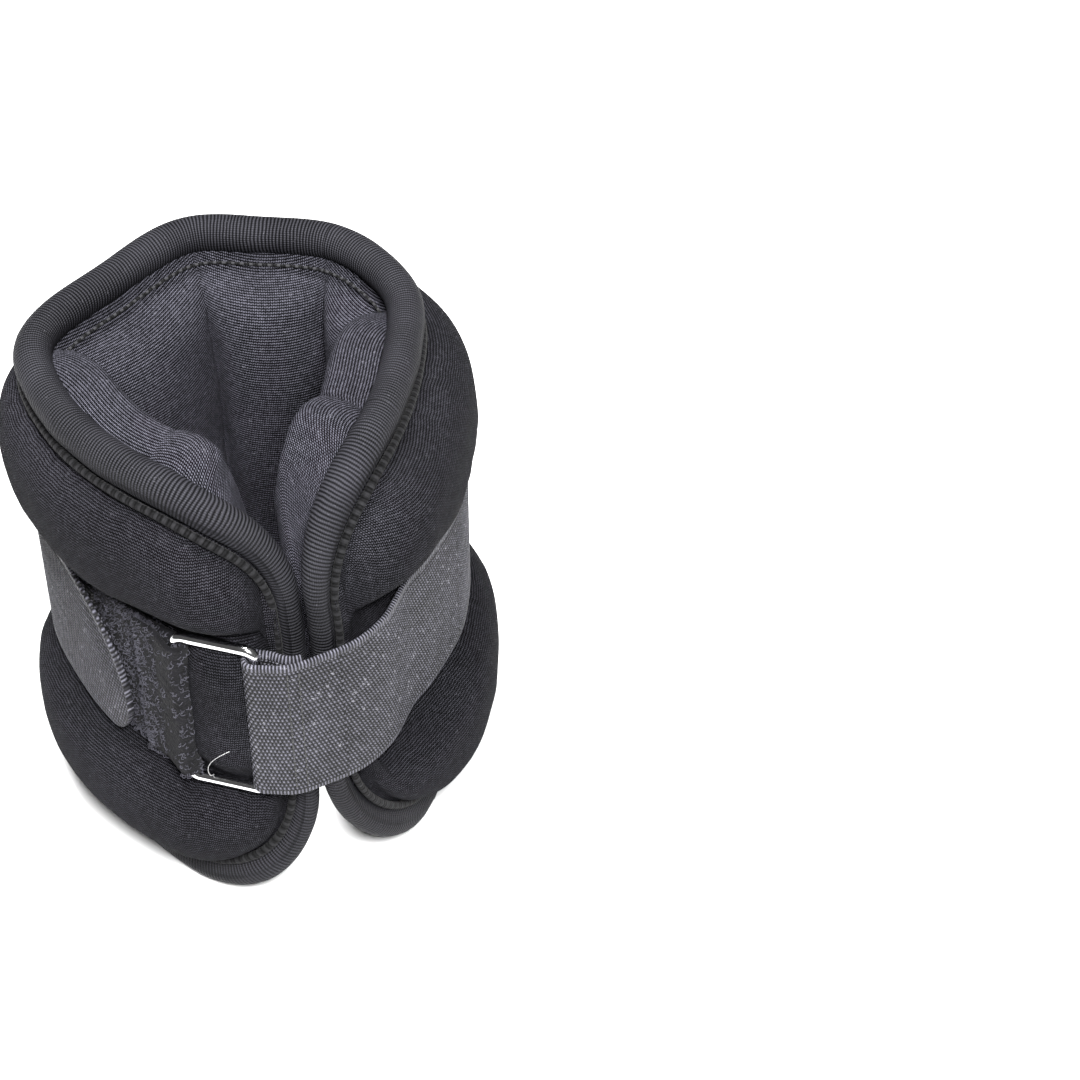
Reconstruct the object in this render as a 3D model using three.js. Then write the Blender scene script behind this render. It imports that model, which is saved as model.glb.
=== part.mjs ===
// Ankle cuff weight: a row of padded, weighted channels wrapped round the ankle, edged with a rolled
// rim and closed by a webbing strap that starts at a wire ring and sticks to a loop-pile band.
// Millimetres, +Z up. The cuff stands on its lower rim; the closure faces -Y.
import * as THREE from "three";

// ---- Driving dimensions ----

const HEIGHT = 149;
const MIDDLE_Z = HEIGHT / 2;

// Middle surface of the padded sheet seen from above, from the left end clockwise round the back to
// the right end: a point on every sewn seam and one in the middle of every channel between them.
// Each row is x, y, and how far the cover stands out at the waist, the upper roll and the lower roll.
const PLAN = [
  [17.5, -65, 3, 12, 13],
  [1, -65.5, 3.5, 14, 15],
  [-17, -55.5, 4.5, 14.5, 17.5],
  [-39.5, -32, 3, 14.5, 19],
  [-51.5, 0, 4, 14.5, 16],
  [-34.5, 29, 7.5, 15.5, 17],
  [-15, 50.5, 10, 17, 18],
  [6, 51, 10, 18, 19],
  [27, 47.5, 10.5, 19, 20],
  [40, 36, 11, 19, 20.5],
  [48.5, 20, 11.5, 18.5, 21],
  [49, -6, 11.5, 18.5, 22],
  [44.5, -31, 7.5, 18.5, 20],
  [38, -49, 3.5, 17, 17],
  [26.3, -66, 2.5, 13, 7],
];
const ORIGIN = [2.67, -4.11]; // plan point under the middle of the whole object's box
const SEAM_STRIDE = 2; // every second plan point is a seam
const CHANNELS = [
  "left_end",
  "left_front",
  "left_side",
  "back",
  "right_back",
  "right_side",
  "right_end",
];
const SEAM_GAP = 0.6;

// The soft cuff has slumped: its upper rim leans back and to the left of its lower rim.
const LEAN = [-3.2, 5];
const LEAN_STARTS = 26; // height above or below the middle
const LEAN_ENDS = 68;

// Cover and lining.
const COVER_THICKNESS = 3;
const LINING_THICKNESS = 2.5;
const EDGE_STAND = 4.5; // how far cover and lining stand off the middle surface where they meet the rim
const INNER_BULGE = 18.5;
const SEAM_PINCH = 0.25; // share of the inner bulge left where a seam pulls the lining in
const SEAM_ROUNDING = 0.6; // less than 1 makes the channels fuller
const WAIST_HALF = 26.6; // half the height of the waist that the strap lies in
const WAIST_HALF_AT_RING = 29.7;
const RING_ZONE = [30, 60]; // distances from an end over which the waist narrows
const LEAST_ROLL = 12; // height left for a roll beside a round corner
const END_FADE = 24; // the padding thins out over this distance from an end

// One roll of the cover, from the waist crease to the rim: shares of the edge, waist and roll
// stand-offs, and the share of the roll's height.
const ROLL = [
  [0, 1, 0, 0],
  [0, 0.55, 0.45, 0.06],
  [0, 0.12, 0.88, 0.22],
  [0, 0, 1, 0.47],
  [0.1, 0, 0.9, 0.73],
  [0.45, 0, 0.55, 0.92],
  [1, 0, 0, 1],
];
// Lining: share of the inner bulge, and share of the panel's height.
const LINING = [
  [0, 1],
  [0.72, 0.95],
  [0.95, 0.85],
  [1, 0.66],
  [1, 0.34],
  [0.95, 0.15],
  [0.72, 0.05],
  [0, 0],
];

// Weight pouches of loose iron sand inside the channels.
const POUCH_CLEARANCE = 1.4;
const POUCH_FROM_SEAM = 3;
const POUCH_FROM_END = 23;
const POUCH_ROWS = [2, 4, 6, 7, 9, 11]; // points of the cover's section that the pouch follows

// Rolled rim: a ten-sided section with a flat below, so that the cuff stands on it.
const RIM_SIDES = 10;
const RIM_RADIUS = 6.5;
const END_RIM_RADIUS = 4.2;
const RIM_FLAT = RIM_RADIUS * Math.cos(Math.PI / RIM_SIDES);
const RIM_TOP_Z = HEIGHT - RIM_FLAT;
const RIM_BOTTOM_Z = RIM_FLAT;
const UPPER_CORNER = 32;
const LEFT_LOWER_CORNER = 38;
const RIGHT_LOWER_CORNER = 46;
const PANEL_INSET = 7; // from the rim's centre line to the edge of cover and lining
const PANEL_FROM_END = 7.6;

// Webbing strap, loop-pile band, hook patch, label and the wire ring.
const STRAP_WIDTH = 50;
const STRAP_THICKNESS = 1.8;
const BAND_THICKNESS = 1.5;
const PATCH_THICKNESS = 1;
const GAP = 0.3;
const LIE_GAP = 0.7; // between the cover and what lies on it
const WIRE_RADIUS = 1.6;
const RING_SPAN = 23; // between the centres of the two bars
const RING_HALF_HEIGHT = 27;
const RING_CORNER = 3;
const RING_AT = 27.5; // distance of the left bar from the left end, along the middle surface
const RING_TURN = 0.26; // the ring's turn from the direction of the sheet under its left bar, radians

// The strap's line in plan between the ring and the right half, where it hangs free.
const STRAP_FREE = [
  [17.5, -77.5],
  [26, -73.5],
  [35.2, -67.6],
  [42.4, -58.2],
];
const STRAP_LANDS = 30; // from here, measured from the right end, it lies on the cover
const TIP_AT = 46; // measured from the left end, as are the next four
const BAND_END = 116;
const BAND_RAMP = 16;
const PATCH_FROM = 104; // the strap stands off further where the hook patch is under it
const PATCH_RAMP = 14;
const PEEL_FROM = 92; // the tip lifts off from here
const PEEL = 0.8;
const TIP_RISE = -12; // of the tip's furthest point, from the middle
const TIP_UPPER_LENGTH = 32; // along the strap, of the round above that point
const TIP_LOWER_LENGTH = 10;
const TIP_STEPS = 7;
const FOLD_LENGTH = 14; // of the strap's sewn end behind the ring, and of the band's
const STRAP_JOINTS = [46, 130, 224, 304]; // distances along the strap from the ring
const PATCH_MARGIN = 9;
const PATCH_HALF = 20;
const LABEL = [135, 219]; // distances along the strap
const LABEL_HALF = 17;

const MATERIALS = {
  cover: [0x17181b, 0.85, 0],
  lining: [0x34363c, 0.9, 0],
  rim: [0x1d1e21, 0.85, 0],
  pouch: [0x3a3a3a, 0.9, 0],
  webbing: [0x3c3e45, 0.8, 0],
  pile: [0x111114, 1, 0],
  hook: [0x16171a, 0.7, 0],
  label: [0x1a1e2a, 0.7, 0],
  chrome: [0xc8c8cc, 0.12, 1],
};

// ---- Middle surface ----

const CURVE_STEPS = 40; // per plan interval
const CHANNEL_STEP = 13;
const END_STEPS = 4;
const CORNER_STEPS = 5;
const WIRE_SIDES = 8;
const STRAP_STEP = 6.5;
const FOLD_STEPS = 8; // in half a turn round a bar
const plan = new THREE.CatmullRomCurve3(
  PLAN.map(([x, y]) => new THREE.Vector3(x - ORIGIN[0], y - ORIGIN[1], 0)),
);
plan.arcLengthDivisions = (PLAN.length - 1) * CURVE_STEPS;
const standOffs = new THREE.CatmullRomCurve3(
  PLAN.map(([, , waist, upper, lower]) => new THREE.Vector3(waist, upper, lower)),
);
const LENGTHS = plan.getLengths();
const LENGTH = LENGTHS[LENGTHS.length - 1];
const SEAMS = CHANNELS.map((_, i) => LENGTHS[i * SEAM_STRIDE * CURVE_STEPS]);
SEAMS.push(LENGTH);

const clamp = (value) => Math.min(1, Math.max(0, value));
const smooth = (value) => clamp(value) ** 2 * (3 - 2 * clamp(value));
const mix = (a, b, share) => a + (b - a) * share;

// Point, direction of travel and outward normal at a distance along the middle surface. Past either
// end it carries straight on.
function along(s) {
  const inside = Math.min(LENGTH, Math.max(0, s));
  const point = plan.getPointAt(inside / LENGTH);
  const travel = plan.getTangentAt(inside / LENGTH);
  point.addScaledVector(travel, s - inside);
  return { point, travel, outward: new THREE.Vector3(-travel.y, travel.x, 0) };
}

// A place given by distance along the sheet, distance out from its middle surface, and height.
function place(s, out, z) {
  const { point, outward } = along(s);
  const rise = Math.abs(z - MIDDLE_Z);
  const lean = Math.sign(z - MIDDLE_Z) * clamp((rise - LEAN_STARTS) / (LEAN_ENDS - LEAN_STARTS));
  point.addScaledVector(outward, out);
  return new THREE.Vector3(point.x + LEAN[0] * lean, point.y + LEAN[1] * lean, z);
}

const fromEnd = (s) => Math.min(s, LENGTH - s);

// Stand-offs of the cover at the waist and at the rolls.
function standOff(s) {
  const t = plan.getUtoTmapping(clamp(s / LENGTH));
  const values = standOffs.getPoint(t);
  return { waist: values.x, upper: values.y, lower: values.z };
}

// Half the waist's height: wider near the ends, where the ring needs room.
function waistHalf(s) {
  const share = smooth((fromEnd(s) - RING_ZONE[0]) / (RING_ZONE[1] - RING_ZONE[0]));
  return mix(WAIST_HALF_AT_RING, WAIST_HALF, share);
}

const lowerCorner = (s) => (s < LENGTH / 2 ? LEFT_LOWER_CORNER : RIGHT_LOWER_CORNER);

// How far the panel reaches above or below the middle: the ends have round corners.
function panelReach(s, radius) {
  const straight = MIDDLE_Z - RIM_BOTTOM_Z - radius;
  const corner = radius - PANEL_INSET;
  const into = Math.max(0, radius - fromEnd(s));
  return straight + Math.sqrt(Math.max(0, corner ** 2 - into ** 2));
}

// Share of the padding's thickness left near an end.
function fullness(s) {
  const left = 1 - clamp((fromEnd(s) - PANEL_INSET) / END_FADE);
  return Math.sqrt(1 - left ** 2);
}

// Share of the inner bulge left near a seam.
function pinch(s) {
  const channel = CHANNELS.findIndex((_, i) => s <= SEAMS[i + 1] || i === CHANNELS.length - 1);
  const share = clamp((s - SEAMS[channel]) / (SEAMS[channel + 1] - SEAMS[channel]));
  const arch = Math.sin(Math.PI * share) ** SEAM_ROUNDING;
  const open = (channel === 0 && share < 0.5) || (channel === CHANNELS.length - 1 && share > 0.5);
  return open ? 1 : mix(SEAM_PINCH, 1, arch);
}

// ---- Sections across the sheet: points are [out, z] ----

// One roll of the cover, from the waist's crease to the rim: points are [out, rise from the middle].
function rollLine(s, rollOut, reach) {
  const crease = Math.min(waistHalf(s), reach - LEAST_ROLL);
  return ROLL.map(([edgeShare, waistShare, rollShare, height]) => {
    const out = edgeShare * EDGE_STAND + waistShare * standOff(s).waist + rollShare * rollOut;
    return [mix(EDGE_STAND, out, fullness(s)), mix(crease, reach, height)];
  });
}

function coverLine(s) {
  const upper = rollLine(s, standOff(s).upper, panelReach(s, UPPER_CORNER));
  const lower = rollLine(s, standOff(s).lower, panelReach(s, lowerCorner(s)));
  return [
    ...upper.map(([out, rise]) => [out, MIDDLE_Z + rise]).reverse(),
    ...lower.map(([out, rise]) => [out, MIDDLE_Z - rise]),
  ];
}

function liningLine(s) {
  const high = MIDDLE_Z + panelReach(s, UPPER_CORNER);
  const low = MIDDLE_Z - panelReach(s, lowerCorner(s));
  const depth = (INNER_BULGE - EDGE_STAND) * pinch(s) * fullness(s);
  return LINING.map(([share, height]) => [-EDGE_STAND - depth * share, mix(low, high, height)]);
}

// The same line moved sideways: positive distances move it inwards, towards the middle surface, on
// the cover's side, and outwards on the lining's side.
function offset(line, distance) {
  return line.map(([out, z], i) => {
    const [outBefore, zBefore] = line[Math.max(0, i - 1)];
    const [outAfter, zAfter] = line[Math.min(line.length - 1, i + 1)];
    const length = Math.hypot(outAfter - outBefore, zAfter - zBefore);
    return [
      out + (distance * (zAfter - zBefore)) / length,
      z - (distance * (outAfter - outBefore)) / length,
    ];
  });
}

const coverSection = (s) => {
  const line = coverLine(s);
  return [...line, ...offset(line, COVER_THICKNESS).reverse()];
};

const liningSection = (s) => {
  const line = liningLine(s);
  return [...line, ...offset(line, -LINING_THICKNESS).reverse()];
};

const pouchSection = (s) => {
  const cover = offset(coverLine(s), COVER_THICKNESS + POUCH_CLEARANCE);
  const outer = POUCH_ROWS.map((row) => cover[row]);
  const inner = offset(liningLine(s), -LINING_THICKNESS - POUCH_CLEARANCE).slice(1, -1);
  return [...outer, ...inner.reverse()];
};

// ---- Mesh building ----

const signedArea = (outline) =>
  outline.reduce((sum, [x, y], i) => {
    const [nextX, nextY] = outline[(i + 1) % outline.length];
    return sum + (x * nextY - nextX * y) / 2;
  }, 0);

const faceArea = (outline, face) => signedArea(face.map((corner) => outline[corner]));

// Faces over an outline whose points are two lines that run side by side, out along one and back
// along the other. Each quad between them is split so that neither face folds over.
const stripFaces = (outline) =>
  Array.from({ length: outline.length / 2 - 1 }, (_, i) => {
    const [a, b, c, d] = [i, i + 1, outline.length - 2 - i, outline.length - 1 - i];
    const split = [
      [a, b, d],
      [b, c, d],
    ];
    const folds = faceArea(outline, split[0]) * faceArea(outline, split[1]) < 0;
    return folds
      ? [
          [a, b, c],
          [a, c, d],
        ]
      : split;
  }).flat();

const fillFaces = (outline) =>
  THREE.ShapeUtils.triangulateShape(
    outline.map(([x, y]) => new THREE.Vector2(x, y)),
    [],
  );

// Closed skin through rings of points; its ends are capped over their flat outlines, or joined to
// each other when no outlines are given.
function loft(rings, firstOutline, lastOutline, facesOver = fillFaces) {
  const count = rings[0].length;
  const index = [];
  const steps = firstOutline ? rings.length - 1 : rings.length;
  for (let i = 0; i < steps; i += 1) {
    const a = i * count;
    const b = ((i + 1) % rings.length) * count;
    for (let j = 0; j < count; j += 1) {
      const k = (j + 1) % count;
      index.push(a + j, b + j, b + k, a + j, b + k, a + k);
    }
  }
  const cap = (outline, base, turned) => {
    const sense = Math.sign(signedArea(outline)) * (turned ? -1 : 1);
    facesOver(outline).forEach((face) => {
      const [a, b, c] = face;
      const faces = faceArea(outline, face) * sense > 0;
      index.push(base + a, base + (faces ? b : c), base + (faces ? c : b));
    });
  };
  if (firstOutline) {
    cap(firstOutline, 0, false);
    cap(lastOutline, (rings.length - 1) * count, true);
  }
  const points = rings.flat();
  const volume = index.reduce((sum, _, i) => {
    if (i % 3) return sum;
    const [a, b, c] = [points[index[i]], points[index[i + 1]], points[index[i + 2]]];
    return sum + a.dot(new THREE.Vector3().crossVectors(b, c));
  }, 0);
  if (volume < 0) index.reverse();
  const geometry = new THREE.BufferGeometry().setFromPoints(points);
  geometry.setIndex(index);
  geometry.computeVertexNormals();
  return geometry;
}

// Distances from one to the other in near-equal steps no longer than the given one.
function stations(from, to, step) {
  const count = Math.max(1, Math.ceil(Math.abs(to - from) / step));
  return Array.from({ length: count + 1 }, (_, i) => mix(from, to, i / count));
}

// Distances of the sections of one channel: its two cut faces, the ends of its pouch, and steps
// between them, closer together where an end's corner is round.
function channelStations(channel) {
  const isFirst = channel === 0;
  const isLast = channel === CHANNELS.length - 1;
  const width = SEAMS[channel + 1] - SEAMS[channel];
  if (!isFirst && !isLast) {
    const inner = stations(POUCH_FROM_SEAM, width - POUCH_FROM_SEAM, CHANNEL_STEP);
    const all = [SEAM_GAP / 2, ...inner, width - SEAM_GAP / 2];
    return all.map((d) => SEAMS[channel] + d);
  }
  const corner = stations(0, 1, 1 / END_STEPS).map((share) => PANEL_FROM_END + END_FADE * share ** 2);
  const rest = stations(PANEL_FROM_END + END_FADE, width - POUCH_FROM_SEAM, CHANNEL_STEP).slice(1);
  const all = [...corner, ...rest, width - SEAM_GAP / 2];
  return isFirst ? all : all.map((d) => LENGTH - d).reverse();
}

function sheetPiece(section, distances, facesOver) {
  const rings = distances.map((s) => section(s).map(([out, z]) => place(s, out, z)));
  return loft(rings, section(distances[0]), section(distances[distances.length - 1]), facesOver);
}

const group = new THREE.Group();

function add(name, geometry, material) {
  const [color, roughness, metalness] = MATERIALS[material];
  const mesh = new THREE.Mesh(
    geometry,
    new THREE.MeshStandardMaterial({ color, roughness, metalness }),
  );
  mesh.name = name;
  group.add(mesh);
}

// ---- Padded channels ----

CHANNELS.forEach((name, i) => {
  const panel = channelStations(i);
  add(`${name}_cover`, sheetPiece(coverSection, panel, stripFaces), "cover");
  add(`${name}_lining`, sheetPiece(liningSection, panel, stripFaces), "lining");
  const filled = panel.slice(1, -1).filter((s) => fromEnd(s) > POUCH_FROM_END);
  add(`${name}_weight_pouch`, sheetPiece(pouchSection, filled, stripFaces), "pouch");
});

// ---- Rolled rim ----

const RIM_CIRCLE = Array.from({ length: RIM_SIDES }, (_, i) => {
  const angle = (2 * Math.PI * i) / RIM_SIDES;
  return [Math.cos(angle), Math.sin(angle)];
});

// Straight stretch of rim along the top or the bottom of one channel.
function rimStretch(channel, z) {
  const section = () => RIM_CIRCLE.map(([x, y]) => [RIM_RADIUS * x, z + RIM_RADIUS * y]);
  const from = SEAMS[channel] + SEAM_GAP / 2;
  const to = SEAMS[channel + 1] - SEAM_GAP / 2;
  return sheetPiece(section, stations(from, to, CHANNEL_STEP));
}

// Rim round an end: along the top to the corner, down the end and back along the bottom. Each row
// of the route is the distance from the end, the rise from the middle and the outward angle.
function endRim(isLeft) {
  const seam = isLeft ? SEAMS[1] : LENGTH - SEAMS[CHANNELS.length - 1];
  const half = MIDDLE_Z - RIM_BOTTOM_Z;
  const corner = (radius) =>
    stations(0, Math.PI / 2, Math.PI / 2 / CORNER_STEPS).map((angle) => [
      radius * (1 - Math.cos(angle)),
      half - radius * (1 - Math.sin(angle)),
      angle,
    ]);
  const upper = [...corner(UPPER_CORNER), [seam - SEAM_GAP / 2, half, Math.PI / 2]];
  const lower = corner(isLeft ? LEFT_LOWER_CORNER : RIGHT_LOWER_CORNER);
  if (lower[CORNER_STEPS][0] < seam - CHANNEL_STEP / 2) {
    lower.push([seam - SEAM_GAP / 2, half, Math.PI / 2]);
  } else {
    lower[CORNER_STEPS][0] = seam - SEAM_GAP / 2;
  }
  const route = [...upper.reverse(), ...lower.map(([d, rise, angle]) => [d, -rise, -angle])];
  const rings = route.map(([d, rise, angle]) => {
    const radius = mix(END_RIM_RADIUS, RIM_RADIUS, Math.abs(Math.sin(angle)));
    return RIM_CIRCLE.map(([x, y]) => {
      const inSheet = d - radius * y * Math.cos(angle);
      const s = isLeft ? inSheet : LENGTH - inSheet;
      return place(s, radius * x, MIDDLE_Z + rise + radius * y * Math.sin(angle));
    });
  });
  return loft(rings, RIM_CIRCLE, RIM_CIRCLE);
}

add("left_end_rim", endRim(true), "rim");
CHANNELS.slice(1, -1).forEach((name, i) => {
  add(`${name}_upper_rim`, rimStretch(i + 1, RIM_TOP_Z), "rim");
  add(`${name}_lower_rim`, rimStretch(i + 1, RIM_BOTTOM_Z), "rim");
});
add("right_end_rim", endRim(false), "rim");

// ---- Ring ----

// Points in plan: the ring's two bars, and the directions along the ring and out of it.
const ringBase = along(RING_AT);
const ringOut = standOff(RING_AT).waist + LIE_GAP + BAND_THICKNESS + GAP + WIRE_RADIUS;
const leftBar = ringBase.point.clone().addScaledVector(ringBase.outward, ringOut);
const ringDirection = ringBase.travel
  .clone()
  .negate()
  .applyAxisAngle(new THREE.Vector3(0, 0, 1), RING_TURN);
const ringOutward = new THREE.Vector3(ringDirection.y, -ringDirection.x, 0);
const rightBar = leftBar.clone().addScaledVector(ringDirection, RING_SPAN);

const WIRE_CIRCLE = Array.from({ length: WIRE_SIDES }, (_, i) => {
  const angle = (2 * Math.PI * (i + 0.5)) / WIRE_SIDES;
  return [WIRE_RADIUS * Math.cos(angle), WIRE_RADIUS * Math.sin(angle)];
});

function wireRing() {
  const centre = leftBar.clone().lerp(rightBar, 0.5);
  const width = RING_SPAN / 2 - RING_CORNER;
  const height = RING_HALF_HEIGHT - RING_CORNER;
  const corners = [
    [width, height],
    [-width, height],
    [-width, -height],
    [width, -height],
  ];
  const rings = corners.flatMap(([x, z], i) =>
    stations(0, Math.PI / 2, Math.PI / 8).map((angle) => {
      const turn = angle + (i * Math.PI) / 2;
      return WIRE_CIRCLE.map(([side, out]) => {
        const reach = RING_CORNER + side;
        return centre
          .clone()
          .addScaledVector(ringDirection, x + reach * Math.cos(turn))
          .addScaledVector(ringOutward, out)
          .setZ(MIDDLE_Z + z + reach * Math.sin(turn));
      });
    }),
  );
  return loft(rings);
}
add("ring", wireRing(), "chrome");

// ---- Bands that stand on edge: a line in plan, given a thickness and a height ----

// The points of a line moved towards its right-hand side, seen along its direction of travel.
function beside(line, distances) {
  return line.map((point, i) => {
    const before = line[Math.max(0, i - 1)];
    const after = line[Math.min(line.length - 1, i + 1)];
    const side = new THREE.Vector3(after.y - before.y, before.x - after.x, 0).normalize();
    const distance = typeof distances === "number" ? distances : distances[i];
    return point.clone().addScaledVector(side, distance);
  });
}

const UPRIGHT_OUTLINE = [
  [0, 0],
  [1, 0],
  [1, 1],
  [0, 1],
];

// A band along the line: rises are its lower and upper edges from the middle, one pair for each
// point, or half its height.
function upright(line, thickness, rises) {
  const left = beside(line, -thickness / 2);
  const right = beside(line, thickness / 2);
  const rings = line.map((_, i) => {
    const [low, high] = typeof rises === "number" ? [-rises, rises] : rises[i];
    return [
      left[i].clone().setZ(MIDDLE_Z + low),
      right[i].clone().setZ(MIDDLE_Z + low),
      right[i].clone().setZ(MIDDLE_Z + high),
      left[i].clone().setZ(MIDDLE_Z + high),
    ];
  });
  return loft(rings, UPRIGHT_OUTLINE, UPRIGHT_OUTLINE);
}

// Half a turn round a bar, from one side of it to the other: the axes point at the start of the
// turn and at its middle.
function halfTurn(centre, startAxis, middleAxis, radius) {
  return stations(0, Math.PI, Math.PI / FOLD_STEPS).map((angle) =>
    centre
      .clone()
      .addScaledVector(startAxis, radius * Math.cos(angle))
      .addScaledVector(middleAxis, radius * Math.sin(angle)),
  );
}

// ---- Strap ----

// How far the middle of the webbing stands out from the sheet's middle surface.
function strapOut(s) {
  const overBand = smooth((BAND_END + BAND_RAMP - s) / BAND_RAMP) * (BAND_THICKNESS + GAP);
  const overPatch = smooth((PATCH_FROM + PATCH_RAMP - s) / PATCH_RAMP) * (PATCH_THICKNESS + GAP);
  const peel = PEEL * clamp((PEEL_FROM - s) / (PEEL_FROM - TIP_AT)) ** 2;
  return standOff(s).waist + LIE_GAP + STRAP_THICKNESS / 2 + overBand + overPatch + peel;
}

const strapFoldRadius = WIRE_RADIUS + GAP + STRAP_THICKNESS / 2;
const strapStart = rightBar.clone().add(new THREE.Vector3(0, -strapFoldRadius, 0));

// The line of the strap's middle, from the ring counterclockwise round to the tip.
const strapRoute = new THREE.CatmullRomCurve3([
  strapStart,
  ...STRAP_FREE.map(([x, y]) => new THREE.Vector3(x - ORIGIN[0], y - ORIGIN[1], 0)),
  ...stations(LENGTH - STRAP_LANDS, TIP_AT, STRAP_STEP).map((s) => {
    const { point, outward } = along(s);
    return point.addScaledVector(outward, strapOut(s));
  }),
]);
strapRoute.arcLengthDivisions = 1000;
const STRAP_LENGTH = strapRoute.getLength();
const strapLine = (from, to, step) =>
  stations(from, to, step).map((d) => strapRoute.getPointAt(d / STRAP_LENGTH));

// The strap's sewn end: a short inner layer, the turn round the ring's right bar, and the outer layer.
function strapStartPiece() {
  const inward = new THREE.Vector3(0, 1, 0);
  const left = new THREE.Vector3(-1, 0, 0);
  const turn = halfTurn(rightBar, inward, left, strapFoldRadius);
  const distances = stations(FOLD_LENGTH, FOLD_LENGTH / 4, FOLD_LENGTH / 4);
  const outer = distances.map((d) => strapRoute.getPointAt(d / STRAP_LENGTH));
  const apart = distances.map((d) => {
    const share = smooth(1 - d / FOLD_LENGTH);
    return mix(STRAP_THICKNESS + GAP, 2 * strapFoldRadius, share);
  });
  const inner = beside(outer, apart);
  const front = strapLine(0, STRAP_JOINTS[0] - SEAM_GAP / 2, STRAP_STEP).slice(1);
  return upright([...inner, ...turn, ...front], STRAP_THICKNESS, STRAP_WIDTH / 2);
}

// The tip's end is a large round above its furthest point and a small one below.
function strapTipPiece() {
  const from = STRAP_JOINTS[STRAP_JOINTS.length - 1] + SEAM_GAP / 2;
  const straight = stations(from, STRAP_LENGTH - TIP_UPPER_LENGTH, STRAP_STEP).slice(0, -1);
  const round = Array.from({ length: TIP_STEPS }, (_, i) => ((TIP_STEPS - i) / TIP_STEPS) ** 2);
  const distances = [...straight, ...round.map((share) => STRAP_LENGTH - TIP_UPPER_LENGTH * share)];
  const rises = distances.map((d) => {
    const above = clamp(1 - (STRAP_LENGTH - d) / TIP_UPPER_LENGTH);
    const below = clamp(1 - (STRAP_LENGTH - d) / TIP_LOWER_LENGTH);
    return [
      TIP_RISE - (STRAP_WIDTH / 2 + TIP_RISE) * Math.sqrt(1 - below ** 2),
      TIP_RISE + (STRAP_WIDTH / 2 - TIP_RISE) * Math.sqrt(1 - above ** 2),
    ];
  });
  const line = distances.map((d) => strapRoute.getPointAt(d / STRAP_LENGTH));
  return upright(line, STRAP_THICKNESS, rises);
}

add("strap_front", strapStartPiece(), "webbing");
["strap_right", "strap_back", "strap_left"].forEach((name, i) => {
  const from = STRAP_JOINTS[i] + SEAM_GAP / 2;
  const line = strapLine(from, STRAP_JOINTS[i + 1] - SEAM_GAP / 2, STRAP_STEP);
  add(name, upright(line, STRAP_THICKNESS, STRAP_WIDTH / 2), "webbing");
});
add("strap_tip", strapTipPiece(), "webbing");

// Hook patch on the tip's inner face, and the label on the strap's outer face.
const patchFrom = STRAP_JOINTS[STRAP_JOINTS.length - 1] + PATCH_MARGIN;
const patchLine = strapLine(patchFrom, STRAP_LENGTH - TIP_UPPER_LENGTH / 2, STRAP_STEP);
const patchSide = -(STRAP_THICKNESS + PATCH_THICKNESS) / 2 - GAP;
add("hook_patch", upright(beside(patchLine, patchSide), PATCH_THICKNESS, PATCH_HALF), "hook");

const labelLine = strapLine(LABEL[0], LABEL[1], STRAP_STEP);
const labelSide = (STRAP_THICKNESS + PATCH_THICKNESS) / 2 + GAP;
add("label_patch", upright(beside(labelLine, labelSide), PATCH_THICKNESS, LABEL_HALF), "label");

// ---- Loop-pile band, folded round the ring's left bar ----

function pileBand() {
  const radius = WIRE_RADIUS + GAP + BAND_THICKNESS / 2;
  const away = ringBase.travel.clone().negate();
  const turn = halfTurn(leftBar, ringBase.outward, away, radius);
  const layer = (from, to, out) =>
    stations(from, to, STRAP_STEP).map((s) => {
      const { point, outward } = along(s);
      return point.addScaledVector(outward, standOff(s).waist + out);
    });
  const outer = layer(RING_AT + FOLD_LENGTH, RING_AT + FOLD_LENGTH / 2, LIE_GAP + GAP + BAND_THICKNESS * 1.5);
  const inner = layer(RING_AT + FOLD_LENGTH / 2, BAND_END, LIE_GAP + BAND_THICKNESS / 2);
  return upright([...outer, ...turn, ...inner], BAND_THICKNESS, STRAP_WIDTH / 2);
}
add("loop_pile_band", pileBand(), "pile");

export default group;
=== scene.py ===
import math

import bpy
import numpy as np
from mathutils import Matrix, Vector, noise


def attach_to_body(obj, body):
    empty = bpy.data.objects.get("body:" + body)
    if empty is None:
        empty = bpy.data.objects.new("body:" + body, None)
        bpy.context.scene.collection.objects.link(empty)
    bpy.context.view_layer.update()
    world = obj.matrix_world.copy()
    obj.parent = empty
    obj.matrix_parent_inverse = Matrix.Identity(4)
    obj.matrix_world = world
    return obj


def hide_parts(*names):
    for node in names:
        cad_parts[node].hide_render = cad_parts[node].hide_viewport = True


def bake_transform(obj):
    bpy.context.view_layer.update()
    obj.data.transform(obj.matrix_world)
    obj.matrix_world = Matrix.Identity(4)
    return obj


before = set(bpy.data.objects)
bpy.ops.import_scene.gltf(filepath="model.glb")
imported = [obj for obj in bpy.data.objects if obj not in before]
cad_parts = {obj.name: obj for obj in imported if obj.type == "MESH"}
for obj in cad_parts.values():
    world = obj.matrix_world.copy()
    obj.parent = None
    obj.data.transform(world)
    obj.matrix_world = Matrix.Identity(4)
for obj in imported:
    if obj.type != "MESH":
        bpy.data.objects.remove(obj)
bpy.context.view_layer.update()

MM = 0.001
SEED = 7

# ---- Driving dimensions, in metres: the CAD's own, apart from two marked ----

HEIGHT = 149 * MM
MIDDLE_Z = HEIGHT / 2

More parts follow.
